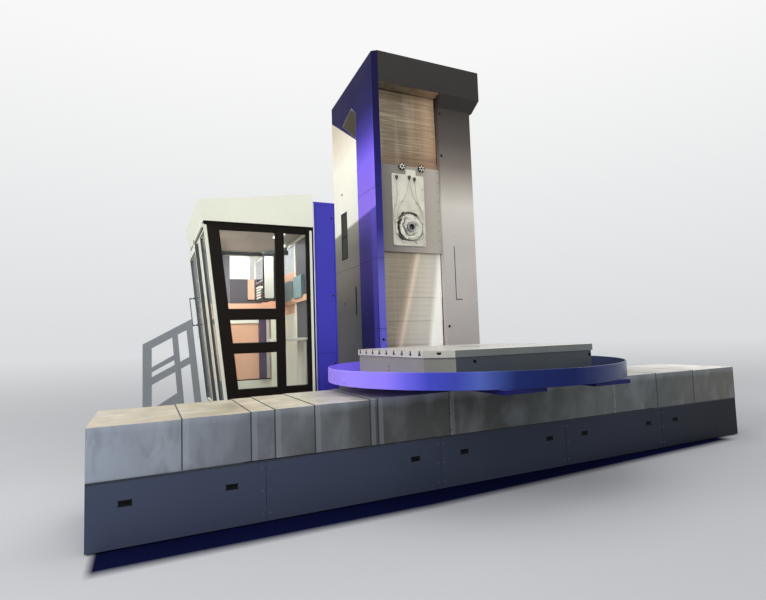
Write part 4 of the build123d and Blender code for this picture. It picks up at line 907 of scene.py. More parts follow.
# Soft boxes of the studio: place, aim, size and power
STAGE_LIGHTS = (
    ("key_left", (-10.0, 0.0, 7.0), (0, 1.5, 1.5), (7, 6), 640),
    ("front_soft", (-3.0, -11.0, 6.0), (0, 1.5, 1.5), (9, 6), 560),
    ("top_soft", (0.0, 1.0, 10.0), (0, 1.5, 0), (9, 9), 380),
    ("right_rim", (9.0, -1.0, 6.0), (0, 2.0, 1.5), (5, 5), 160),
    ("cab_lamp", (-2.1, 2.7, 2.96), (-2.0, 2.9, 0.5), (0.9, 1.3), 42),
)
WORLD_LEVEL = 0.42
WORLD_LIGHT = (0.92, 0.95, 1.0, 1)
# Backdrop as the camera sees it: at the horizon, and from this share of a turn upwards
HORIZON_TONE = (219, 221, 223)
BACKDROP_TONE = (248, 248, 248)
BACKDROP_HEIGHT = 0.5
FLOOR_REACH = 60
# From this distance the floor's own shade runs out into the backdrop, level with the view
FLOOR_FADE = 6.0
FLOOR_TONE = (184, 185, 187)
# Soft contact shadow in front of the bed: its edges as place and softness, and its tone
CONTACT_LEFT = (-3.86, 0.06)
CONTACT_RIGHT = (3.42, 0.2)
CONTACT_FRONT = (-0.93, 0.24, 0.07)
CONTACT_BACK = (0.7, 0.2)
# Between these places from left to right the shadow's front edge drifts backwards
CONTACT_RISE = (-1.2, 3.6)
CONTACT_TONE = (13, 17, 48)


# Places of the bed panels' joints and pull cups, along the cross bed
PANEL_JOINTS = (-2.572, -0.873, 0.75, 2.343)
PULL_CUPS = (-3.618, -2.848, -1.155, -0.597, 0.518, 1.036, 2.109, 2.605)
PULL_CUP_HEIGHT = 0.33
PULL_CUP_SIZE = (0.092, 0.026)
CUP_RIM = 0.01
COLUMN_BED_X = 0.4
COLUMN_BED_HALF = 0.557
# Behind the cross bed, no screw stands nearer its middle than this
COLUMN_BED_ROOM = 1.5
PANEL_SCREW_HEIGHTS = (0.075, 0.258, 0.44)
PANEL_SCREW_OFFSET = 0.032
PANEL_SHEET = 0.004
BEDSIDE_JOINTS = (2.891, 0.652)


class MILL_OT_bed_trim(bpy.types.Operator):
    """Screws, pull cups and top seals of the bed panels"""

    bl_idname = "mill.bed_trim"
    bl_label = "Bed panel trim"

    def execute(self, context):
        low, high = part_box("bed_panels")
        heights, step = PANEL_SCREW_HEIGHTS, PANEL_SCREW_OFFSET
        joints = [x + side * step for x in PANEL_JOINTS for side in (-1, 1)]
        spots = grid(joints, low.y, heights, -Y)
        spots += grid([x for x in joints if abs(x) > COLUMN_BED_ROOM], -low.y, heights, Y)
        for end, facing in ((low.x, -X), (high.x, X)):
            spots += grid(end, (-0.5, 0.5), heights, facing)
        joints = (*BEDSIDE_JOINTS, high.y - step * 2)
        joints = [y + shift for y in joints for shift in (-step, step)]
        for side in (-1, 1):
            spots += grid(COLUMN_BED_X + side * COLUMN_BED_HALF, joints, heights, side * X)
        radius = context.scene.mill_sizes.screw * 0.8
        screws("bed_panel_screws", spots, "base", radius, "dull_screw")
        self.pull_cups(low)
        seals = [
            (low.x, y - 0.0008, 0.49, high.x, y + 0.0008, 0.5045, 0)
            for y in (low.y, COLUMN_BED_HALF)
        ]
        block_pieces("base", (("bed_top_seal", "seam", "bed_panel", *seals),))
        return {"FINISHED"}

    def pull_cups(self, low):
        cups = Piece("bed_pull_cups")
        wide, tall = PULL_CUP_SIZE[0] / 2, PULL_CUP_SIZE[1] / 2
        deep = low.y + PANEL_SHEET
        foot, head = PULL_CUP_HEIGHT - tall, PULL_CUP_HEIGHT + tall
        front, rim = low.y - 0.0008, low.y + 0.0002
        for x in PULL_CUPS:
            left, right = x - wide, x + wide
            cups.block((left, deep - 0.0008, foot), (right, deep - 0.0002, head))
            cups.block((left, low.y + 0.0006, head - 0.005), (right, deep, head), 0.0008)
            for edge in (foot - CUP_RIM, head):
                ends = (left - 0.004, front, edge), (right + 0.004, rim, edge + CUP_RIM)
                cups.block(*ends, 0.0003)
        cups.finish("base", "hole", "bed_panel")


# Way cover sections that show their outer end: node, body, ending of the name and direction
LEFT_SECTIONS = [(f"x_cover_left_{n}", f"cover_left_{n}", "_left", -X) for n in range(2, 7)]
SHOWN_ENDS = (
    ("saddle_cover", "saddle", "_left", -X),
    ("x_cover_left_1", "saddle", "_left", -X),
    *LEFT_SECTIONS,
    ("saddle_cover", "saddle", "_right", X),
    ("x_cover_right_1", "cover_right_1", "_right", X),
    ("x_cover_right_2", "cover_right_2", "_right", X),
    ("z_cover_rear_1", "column", "", Y),
    ("z_cover_rear_2", "cover_rear_2", "", Y),
    ("z_cover_front_2", "column", "", -Y),
)
LIP_SHEET = 0.0012
LIP_WIDTH = 0.009
BAND_WIDTH = 0.02
BAND_SCREW_HEIGHTS = (0.56, 0.72, 0.88)
END_SCREWS_ACROSS = (-0.45, -0.15, 0.15, 0.45)
END_SCREW_HEIGHTS = (0.54, 0.86)


def end_lip(name, node, body, way, width, finish):
    """Strip folded round the outer end of a cover section."""
    low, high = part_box(node)
    across, middle = (Y, 0.0) if way.x else (X, COLUMN_BED_X)
    half = (high - low).dot(across) / 2
    start = way * max(low.dot(way), high.dot(way)) + across * middle
    wide, top = half + LIP_SHEET, high.z + LIP_SHEET
    u_shape = ((wide, low.z), (wide, top), (-wide, top), (-wide, low.z))
    u_shape += ((-half, low.z), (-half, high.z), (half, high.z), (half, low.z))
    outline = [start + across * side + Z * height for side, height in u_shape]
    Piece(name).prism(outline, -way, width).finish(body, finish, "cover_steel")


class MILL_OT_way_cover_trim(bpy.types.Operator):
    """Wipers, end bands and end screws of the telescopic way covers"""

    bl_idname = "mill.way_cover_trim"
    bl_label = "Way cover trim"

    def execute(self, context):
        for node, body, side, way in SHOWN_ENDS:
            if node == "saddle_cover":
                end_lip(f"{node}{side}_band", node, body, way, BAND_WIDTH, "band")
            else:
                end_lip(f"{node}{side}_wiper", node, body, way, LIP_WIDTH, "seam")
        sizes = context.scene.mill_sizes
        low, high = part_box("saddle_cover")
        places = (low.x + BAND_WIDTH / 2, high.x - BAND_WIDTH / 2)
        spots = grid(places, low.y - LIP_SHEET, BAND_SCREW_HEIGHTS, -Y)
        spots += grid(places, high.y + LIP_SHEET, BAND_SCREW_HEIGHTS, Y)
        screws("saddle_band_screws", spots, "saddle", sizes.band_screw, "hole", 0.002)
        spots = []
        for node, end, way in (("x_cover_left_7", 0, -X), ("x_cover_right_3", 1, X)):
            spots += grid(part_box(node)[end].x, END_SCREWS_ACROSS, END_SCREW_HEIGHTS, way)
        across = [COLUMN_BED_X + x for x in END_SCREWS_ACROSS]
        spots += grid(across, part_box("z_cover_rear_3")[1].y, END_SCREW_HEIGHTS, Y)
        screws("cover_end_screws", spots, "base", sizes.screw, height=0.001)
        return {"FINISHED"}


# Guard ring and table; the ring's joints are angles from the X axis
RING_CENTRE = Vector((RING_X, 0, 0))
RING_RADIUS = 1.629
RING_JOINTS = (-84, 6, 96, 186)
STRAP_FOOT = 1.045
BRACKET_TOP = 1.037
PLUG_INSET = 0.012
CORNER_CUT = 0.213
CUP_RADIUS = 0.024


def level_way(degrees):
    """A level direction at an angle from the machine's X axis."""
    turn = math.radians(degrees)
    return Vector((math.cos(turn), math.sin(turn), 0))


class MILL_OT_ring_trim(bpy.types.Operator):
    """Joint straps and screws of the guard ring, and the bolts of its brackets"""

    bl_idname = "mill.ring_trim"
    bl_label = "Guard ring trim"

    def execute(self, context):
        sizes = context.scene.mill_sizes
        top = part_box("ring_guard")[1].z
        spots = []
        straps = Piece("ring_joint_straps")
        for angle in RING_JOINTS:
            for shift in (-0.9, 0.9):
                out = level_way(angle + shift)
                edge = RING_CENTRE + out * RING_RADIUS
                spots += [(edge + Z * (top - drop), out) for drop in (0.036, 0.125)]
            out = level_way(angle)
            foot = RING_CENTRE + out * (RING_RADIUS - 0.0088) + Z * STRAP_FOOT
            outline = rectangle(foot, out.cross(Z), Z, -0.04, 0.04, 0, 0.115)
            straps.prism(outline, -out, 0.004, 0.001)
        straps.finish("saddle", "ring", "ring_paint")
        screws("ring_screws", spots, "saddle", sizes.screw * 1.1, "ring")
        bolts = []
        for x in (-0.51, 0.51):
            for y in (-1.0, 1.0):
                xs = (RING_X + x - 0.17, RING_X + x + 0.17)
                bolts += grid(xs, (y * 0.8, y * 1.35), BRACKET_TOP, Z)
        screws("ring_floor_bolts", bolts, "saddle", sizes.bolt, "steel_edge", 0.008)
        return {"FINISHED"}


class MILL_OT_table_fittings(bpy.types.Operator):
    """Plugs, lifting holes and the centring bush of the rotary table"""

    bl_idname = "mill.table_fittings"
    bl_label = "Table fittings"

    def execute(self, context):
        low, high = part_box("table")
        plugs = Piece("table_plugs")
        for side in (-1, 1):
            for x in (-0.73, 0.719):
                spot = Vector((x, side * (high.y - PLUG_INSET), 1.245))
                plugs.turned(button(0.0162, 0.001, 0.018, 0, -0.002), spot, side * Y, 24)
        for end, facing in ((low.x + PLUG_INSET, -X), (high.x - PLUG_INSET, X)):
            for height in (1.148, 1.185):
                profile = ((0, 0.0008), (0.009, 0.0008), (0.01, 0))
                plugs.turned(profile, Vector((end, -0.025, height)), facing, 16)
        plugs.finish("table", "hole", "table_iron", True)
        self.lifting_cups(high)
        bush = Piece("table_centre_bush")
        rim = ((0.0998, -0.04), (0.0998, 0), (0.1006, 0.0008), (0.125, 0.0008))
        rim += ((0.126, 0), (0.126, -0.002))
        bush.turned(rim, RING_CENTRE + Z * high.z, Z, 64, loop=True)
        bush.finish("table", "ground", "table_iron", True)
        return {"FINISHED"}

    def lifting_cups(self, high):
        """Dark half-round cups high on the four cut corners."""
        cups = Piece("table_corner_cups")
        for sx in (-1, 1):
            for sy in (-1, 1):
                out = Vector((sx, sy, 0)).normalized()
                corner = RING_CENTRE + Vector((sx * (high.x - RING_X), sy * high.y, 0))
                middle = corner - Vector((sx, sy, 0)) * CORNER_CUT / 2 + Z * 1.339 - out * 0.001
                arc = []
                for step in range(11):
                    turn = math.pi * step / 10
                    reach = out.cross(Z) * math.cos(turn) - Z * math.sin(turn)
                    arc.append(middle + reach * CUP_RADIUS)
                cups.prism(arc, out, 0.0016)
        cups.finish("table", "hole", "table_iron")


# The column's covers
COLUMN_SIDE_X = -0.4
COLUMN_CORNER = (Vector((-0.315, 1.738, 0)), Vector((-0.4, 1.79, 0)))
STRIP_BACK_Y = 2.471
SIDE_BACK_Y = 3.59
WINDOW_BOX = ((2.985, 2.85), (3.235, 3.63))
RIGHT_FRONT_Y = 1.803
GRIP_X = 0.956
RIGHT_BOLTS = ((0.79, 5.054), (0.79, 4.354), (0.806, 1.629))
RIGHT_BUTTONS = ((0.962, 3.064), (0.883, 1.523), (0.789, 2.05))
SIDE_PULL = (2.66, 1.866, 2.318)
SIDE_LOCK = (3.18, 2.081)
HOOD_VENT = ((2.66, 5.29), (3.06, 5.15), (2.486, 4.74), (2.474, 5.15))
LOUVRE_FOLD = ((-0.0005, -0.014), (-0.0005, -0.011), (0.0034, 0.014), (0.0034, 0.011))


class MILL_OT_column_trim(bpy.types.Operator):
    """Seams, locks, window, vent and bolts of the column's covers"""

    bl_idname = "mill.column_trim"
    bl_label = "Column cover trim"

    def execute(self, context):
        sizes = context.scene.mill_sizes
        self.seams(sizes.screw * 0.7)
        self.window()
        self.vent()
        self.side_door(sizes.screw * 0.7)
        self.right_cover(sizes)
        low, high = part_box("column_cap")
        spots = grid((-0.2, 0.2, 0.6, 1.0, 1.4), low.y, (5.41, high.z - 0.04), -Y)
        spots += grid(high.x, (1.85, 2.3, 2.8, 3.3), 5.42, X)
        screws("cap_screws", spots, "column", sizes.screw, "cap")
        return {"FINISHED"}

    def seams(self, radius):
        """Screws beside each joint between the front cover's sheets, and a lock on the bevel."""
        corner, side = COLUMN_CORNER
        bevel = side - corner
        facing = Vector((-bevel.y, bevel.x, 0)).normalized()
        heights = [seam + shift for seam in COLUMN_SEAMS for shift in (-0.03, 0.03)]
        spots = [
            (corner.lerp(side, share) + Z * height, facing)
            for height in heights
            for share in (0.2, 0.8)
        ]
        spots += grid(COLUMN_SIDE_X, (1.83, STRIP_BACK_Y - 0.04), heights, -X)
        edge = (STRIP_BACK_Y - 0.02, STRIP_BACK_Y + 0.025)
        spots += grid(COLUMN_SIDE_X, edge, (1.06, 2.2, 3.2, 4.2, 4.66), -X)
        screws("column_front_screws", spots, "column", radius, "violet_dark")
        lock = Piece("column_bevel_lock")
        place = corner.lerp(side, 0.5) + Z * 1.46
        lock.turned(button(0.016, 0.006, 0.02, 0.003, -0.002), place, facing, 24)
        lock.finish("column", "dark_metal", "blue_sheet", True)

    def window(self):
        """Rubber frame, dark pane and cross rail of the inspection window."""
        (left, foot), (right, head) = WINDOW_BOX
        lip, x = 0.014, COLUMN_SIDE_X
        out, back = x - 0.003, x + 0.003
        frame_bars = (
            (out, left - lip, foot - lip, back, left + lip / 2, head + lip, 0.0012),
            (out, right - lip / 2, foot - lip, back, right + lip, head + lip, 0.0012),
            (out, left, foot - lip, back, right, foot + lip / 2, 0.0012),
            (out, left, head - lip / 2, back, right, head + lip, 0.0012),
            (out + 0.001, left, 3.21, back, right, 3.235, 0.0012),
        )
        pane = (x + 0.001, left, foot, x + 0.0035, right, head, 0)
        rows = (("column_window_frame", "rubber", "white_sheet", *frame_bars),)
        rows += (("column_window_pane", "dark_pane", "white_sheet", pane),)
        block_pieces("column", rows)

    def vent(self):
        """Louvres in the hood's opening, one under the other, with a dark sheet behind them."""
        back = [(COLUMN_SIDE_X + 0.0036, y, z) for y, z in HOOD_VENT]
        Piece("hood_vent_back").prism(back, X, 0.0003).finish("column", "brown", "blue_sheet")
        louvres = Piece("hood_vent_louvres")
        for height in spread(4.8, 5.24, 9):
            near, far = vent_width(height)
            outline = [(COLUMN_SIDE_X + x, near, height + z) for x, z in LOUVRE_FOLD]
            louvres.prism(outline, Y, far - near)
        louvres.finish("column", "brown", "blue_sheet")

    def side_door(self, radius):
        """Pull, locks and screws of the side cover."""
        y, foot, head = SIDE_PULL
        x = COLUMN_SIDE_X
        pull = (x - 0.0004, y - 0.016, foot, x + 0.001, y + 0.016, head, 0.0002)
        block_pieces("column", (("side_cover_pull", "hole", "white_sheet", pull),))
        rim = Piece("side_cover_pull_rim")
        left, right, under, over = y - 0.024, y + 0.024, foot - 0.008, head + 0.008
        for low, high in (
            ((left, under), (y - 0.015, over)),
            ((y + 0.015, under), (right, over)),
            ((left, under), (right, foot + 0.001)),
            ((left, head - 0.001), (right, over)),
        ):
            rim.block((x - 0.003, *low), (x + 0.001, *high), 0.001)
        place, height = SIDE_LOCK
        for lock_height in (height, height + 1.9):
            spot = Vector((x, place, lock_height))
            rim.turned(button(0.014, 0.007, 0.022, 0.004, -0.001), spot, -X, 24)
        rim.finish("column", "dark_metal", "white_sheet")
        spots = grid(x, SIDE_BACK_Y - 0.03, (1.06, 1.85, 2.6, 2.7, 3.5, 4.3, 5.0), -X)
        spots += grid(x, (2.75, 3.1, 3.4), (2.6, 2.7), -X)
        screws("side_cover_screws", spots, "column", radius, "white")

    def right_cover(self, sizes):
        """Bolts, buttons and grip slot of the right casing."""
        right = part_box("column_right_cover")[1].x
        front, heights = RIGHT_FRONT_Y, (1.06, 2.0, 3.0, 4.0, 5.0)
        bolts = [((x, front, z), -Y) for x, z in RIGHT_BOLTS]
        screws("right_cover_bolts", bolts, "column", sizes.bolt * 1.5, "dark_metal", 0.008)
        buttons = [((x, front, z), -Y) for x, z in RIGHT_BUTTONS]
        buttons += grid(right - 0.03, front, heights, -Y) + grid(right, (1.85, 3.5), heights, X)
        screws("right_cover_screws", buttons, "column", sizes.screw, "grey")
        x, back = GRIP_X, front + 0.0036
        # Painted shade: a near-black sheet inside the grip slot
        slots = (
            (x - 0.0075, back, 2.05, x + 0.0075, back + 0.0006, 2.9, 0),
            (x - 0.0075, back, 2.043, x + 0.12, back + 0.0006, 2.058, 0),
        )
        edge = (x + 0.0068, back - 0.008, 2.06, x + 0.0098, back, 2.898, 0.001)
        rows = (("grip_slot_liner", "hole", "grey_sheet", *slots),)
        rows += (("grip_slot_edge", "steel_edge", "grey_sheet", edge),)
        block_pieces("column", rows)


def vent_width(height):
    """Where a level line enters and leaves the hood's opening."""
    crossings = []
    for (y1, z1), (y2, z2) in zip(HOOD_VENT, HOOD_VENT[1:] + HOOD_VENT[:1]):
        if (z1 - height) * (z2 - height) < 0:
            crossings.append(y1 + (height - z1) / (z2 - z1) * (y2 - y1))
    return min(crossings) + 0.002, max(crossings) - 0.002


class MILL_OT_slat_guides(bpy.types.Operator):
    """Guide rail beside the slat covers, and the sheet over them under the cap"""

    bl_idname = "mill.slat_guides"
    bl_label = "Slat guides"

    def execute(self, context):
        low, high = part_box("slat_cover_upper_1")
        rail = (high.x + 0.0008, low.y - 0.004, 1.03, high.x + 0.0038, 1.925, 5.335, 0.0008)
        block_pieces("column", (("slat_guide_rails", "dark_metal", "column_iron", rail),))
        front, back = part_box("column_cap")[0].y + 0.008, low.y - 0.002
        slope = ((front, 5.354), (front, 5.351), (back, 5.325), (back, 5.33))
        top = Piece("slat_top_sheet")
        top.prism([(low.x, y, z) for y, z in slope], X, high.x - low.x + 0.003)
        top.finish("column", "slats_dark", "cap_sheet")
        return {"FINISHED"}


# Headstock, spindle nose and coolant fittings
SPINDLE = Vector((NOSE_X, 0, NOSE_Z))
FACE_Y = 1.833
COOLANT_RING = 0.232
NOZZLE_ANGLES = (20, 62, 118, 160, 200, 242, 298, 340)
NOZZLE = ((0, 0.034), (0.0035, 0.034), (0.0055, 0.03), (0.0085, 0.012), (0.011, 0.008))
NOZZLE += ((0.011, -0.006),)
FITTINGS = [Vector((x, FACE_Y, z)) for x, z in ((-0.02, 3.93), (0.2, 3.945), (0.29, 3.925))]
# Coolant pipes: their fitting, the side that they leave it on and where they meet the ring
PIPE_RUNS = ((0, -1, 178), (1, -1, 150), (1, 1, 30), (2, 1, 2))


def round_spindle(radius, degrees, y):
    """A place round the spindle, at an angle from the machine's X axis."""
    turn = math.radians(degrees)
    return SPINDLE + Vector((radius * math.cos(turn), y, radius * math.sin(turn)))


class MILL_OT_headstock_fittings(bpy.types.Operator):
    """Coolant pipes and nozzles, nose rings, bolts and knob marks of the headstock"""

    bl_idname = "mill.headstock_fittings"
    bl_label = "Headstock fittings"

    def execute(self, context):
        sizes = context.scene.mill_sizes
        self.bolts(sizes.bolt)
        self.coolant_ring(sizes.pipe * 2.4)
        self.fittings(sizes.pipe)
        self.nose(sizes.screw * 0.8)
        for name in ("knob_left", "knob_right"):
            self.knob_star(name)
        return {"FINISHED"}

    def knob_star(self, name):
        """Pale marks on a knob's lobes."""
        low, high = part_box(name)
        centre = Vector(((low.x + high.x) / 2, low.y + 0.001, (low.z + high.z) / 2))
        marks = Piece(f"{name}_marks")
        for lobe in range(6):
            turn = math.pi * lobe / 3 + math.pi / 6
            out = Vector((math.cos(turn), 0, math.sin(turn)))
            side = out.cross(Y)
            corners = ((0.018, -0.007), (0.018, 0.007), (0.044, 0.0105), (0.044, -0.0105))
            outline = [centre + out * reach + side * shift for reach, shift in corners]
            marks.prism(outline, -Y, 0.0022, 0.0004)
        marks.finish(name, "star", "knob_plastic")

    def bolts(self, radius):
        """Bolts of the face plate and of the headstock's edges."""
        low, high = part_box("face_plate")
        foot = low.z + 0.04
        spots = grid((low.x + 0.03, high.x - 0.03), low.y, spread(foot, 3.95, 7), -Y)
        spots += grid((0.06, 0.3), low.y, foot, -Y)
        screws("face_plate_bolts", spots, "headstock", radius * 0.8, "face", 0.006)
        low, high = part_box("headstock")
        heights = spread(low.z + 0.05, high.z - 0.05, 9)
        spots = grid((low.x + 0.035, high.x - 0.035), low.y, heights, -Y)
        screws("headstock_bolts", spots, "headstock", radius, "headstock", 0.006)

    def coolant_ring(self, radius):
        """Ring pipe round the nose, with a clamp and a nozzle at each place."""
        depth = FACE_Y - 0.018
        ring = [round_spindle(COOLANT_RING, angle - 60, depth) for angle in range(0, 301, 20)]
        pipes("coolant_ring_pipe", [ring], "nose", "headstock", radius)
        clamps = Piece("coolant_ring_clamps")
        nozzles = Piece("coolant_nozzles")
        for angle in NOZZLE_ANGLES:
            out = round_spindle(1.0, angle, 0) - SPINDLE
            middle = round_spindle(COOLANT_RING, angle, depth)
            corners = rectangle(middle + Y * 0.017, out.cross(Y), out, -0.02, 0.02, -0.017, 0.03)
            clamps.prism(corners, -Y, 0.032, 0.002)
            nozzles.turned(NOZZLE, middle - Y * 0.012, -out * 0.55 - Y, 12)
        clamps.finish("headstock", "nose", "nose_steel")
        nozzles.finish("headstock", "nose", "nose_steel", True)

    def fittings(self, radius):
        """Three fittings above the nose, with rigid pipes and their clips."""
        body = Piece("coolant_fittings")
        outlet = ((0.013, 0), (0.013, 0.012), (0.009, 0.02), (0.009, 0.034))
        cap = ((0.011, 0), (0.011, 0.01), (0.006, 0.014), (0, 0.014))
        for place in FITTINGS:
            low, high = Vector((-0.02, -0.026, -0.022)), Vector((0.02, 0.001, 0.022))
            body.block(place + low, place + high, 0.003)
            body.turned(outlet, place + Vector((0, -0.013, -0.02)), -Z, 6)
            body.turned(cap, place - Y * 0.025, -Y, 6)
        body.finish("headstock", "fitting", "headstock_iron")
        lift = FACE_Y - 0.013
        routes = []
        for fitting, side, angle in PIPE_RUNS:
            start = FITTINGS[fitting] + Vector((0.006 * side, -0.013, -0.05))
            end = round_spindle(COOLANT_RING + 0.01, angle, lift)
            bend = start.lerp(end, 0.35) - X * 0.02 * side
            near = start.lerp(end, 0.75) + X * 0.035 * side
            bend.y = near.y = lift
            routes.append((start, bend, near, end))
        pipes("coolant_pipes", routes, "pipe_grey", "headstock", radius)
        clips = Piece("coolant_pipe_clips")
        for _, bend, near, _ in routes:
            middle = bend.lerp(near, 0.5)
            low, high = Vector((-0.014, -0.009, -0.008)), Vector((0.014, 0.013, 0.008))
            clips.block(middle + low, middle + high, 0.002)
        clips.finish("headstock", "pipe_grey", "headstock_iron")

    def nose(self, radius):
        """Drive keys, bolt heads and the stepped rings of the turning nose."""
        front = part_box("spindle_sleeve")[0].y
        centre = SPINDLE + Y * front
        outer = ((0.112, -0.002), (0.112, 0.0012), (0.118, 0.0024), (0.134, 0.0024))
        outer += ((0.14, 0.001), (0.14, -0.002))
        inner = ((0.071, -0.002), (0.071, 0.004), (0.075, 0.006), (0.094, 0.006))
        inner += ((0.1, 0.002), (0.1, -0.002))
        rings = Piece("nose_rings")
        for profile in (outer, inner):
            rings.turned(profile, centre, -Y, 64, loop=True)
        rings.finish("spindle_sleeve", "nose", "nose_steel", True)
        keys = Piece("nose_drive_keys")
        for angle in (0, 180):
            out = round_spindle(1.0, angle, 0) - SPINDLE
            place = centre + Y * 0.001
            outline = rectangle(place, out, out.cross(Y), 0.078, 0.106, -0.0125, 0.0125)
            keys.prism(outline, -Y, 0.012, 0.0015)
        keys.finish("spindle_sleeve", "steel_edge", "nose_steel")
        spots = [(round_spindle(0.182, angle, front), -Y) for angle in range(15, 360, 30)]
        screws("nose_bolts", spots, "spindle_sleeve", radius, "ground", 0.003)
        mouth = Piece("spindle_mouth_ring")
        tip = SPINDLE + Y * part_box("boring_spindle")[0].y
        rim = ((0.0352, -0.004), (0.0352, 0), (0.037, 0.0015), (0.05, 0.0015))
        rim += ((0.052, 0), (0.052, -0.001))
        mouth.turned(rim, tip, -Y, 48, loop=True)
        mouth.finish("boring_spindle", "nose", "nose_steel", True)


# Operator's cab: its left wall leans, so places on it are given along and up that wall
WALL_FOOT = Vector((-2.557, 0, 0.5))
WALL_TOP = Vector((-2.826, 0, 3.043))
WALL_UP = (WALL_TOP - WALL_FOOT).normalized()
WALL_OUT = Vector((-WALL_UP.z, 0, WALL_UP.x))
WALL_SLOPE = (WALL_FOOT.x - WALL_TOP.x) / (WALL_TOP.z - WALL_FOOT.z)
CAB_FRONT_Y = 1.78
CAB_BACK_Y = 3.78
CAB_RIGHT_X = -1.4
SIDE_WINDOW = (1.85, 2.3, 0.1, 2.43)
DOOR_PLACE = (2.625, 3.675, 0.035, 2.425)
DOOR_WINDOW = (2.76, 3.54, 0.145, 2.315)
DOOR_OUT = 0.046
WALL_TRIM_TOP = 2.53
PULL_Y = 3.625
PULL_FEET = (1.297, 1.723)
# Foot and head of the three left panes, which share their right edge, and the tall pane
LEFT_PANES = ((0.88, 1.357), (1.47, 1.789), (1.912, 2.957))
PANE_RIGHT = -1.901
TALL_PANE = (-1.799, -1.474, 0.88, 2.957)
FRAME_LEFT = 0.1753
SEAL_STRIP = 0.012
POST_WIDTH = 0.034


def wall_bar(piece, low, high, out, depth, bevel=0.0):
    """A bar lying on the leaning wall between two places given along and up it."""
    start = WALL_FOOT + WALL_OUT * out
    outline = rectangle(start, Y, WALL_UP, low[0], high[0], low[1], high[1])
    return piece.prism(outline, WALL_OUT, depth, bevel)


def wall_frame(piece, place, width, out, depth, bevel=0.0):
    """Four bars round an opening in the leaning wall."""
    y1, y2, u1, u2 = place
    for low, high in (
        ((y1 - width, u1 - width), (y1, u2 + width)),
        ((y2, u1 - width), (y2 + width, u2 + width)),
        ((y1, u1 - width), (y2, u1)),
        ((y1, u2), (y2, u2 + width)),
    ):
        wall_bar(piece, low, high, out, depth, bevel)


def lean_x(z, inset=0.0):
    """The leaning wall's outer face at a height, moved into the cab by an inset."""
    return WALL_FOOT.x - (z - WALL_FOOT.z) * WALL_SLOPE + inset * math.hypot(1, WALL_SLOPE)


def pane_seal(piece, corners):
    """A rubber strip inside each edge of a front pane."""
    corners = [Vector(corner) for corner in corners]
    middle = sum(corners, Vector((0, 0))) / 4
    for a, b in zip(corners, corners[1:] + corners[:1]):
        run = (b - a).normalized()
        inward = Vector((-run.y, run.x)) * SEAL_STRIP
        if inward.dot(middle - a) < 0:
            inward = -inward
        outline = [(c.x, CAB_FRONT_Y + 0.023, c.y) for c in (a, b, b + inward, a + inward)]
        piece.prism(outline, Y, 0.006)


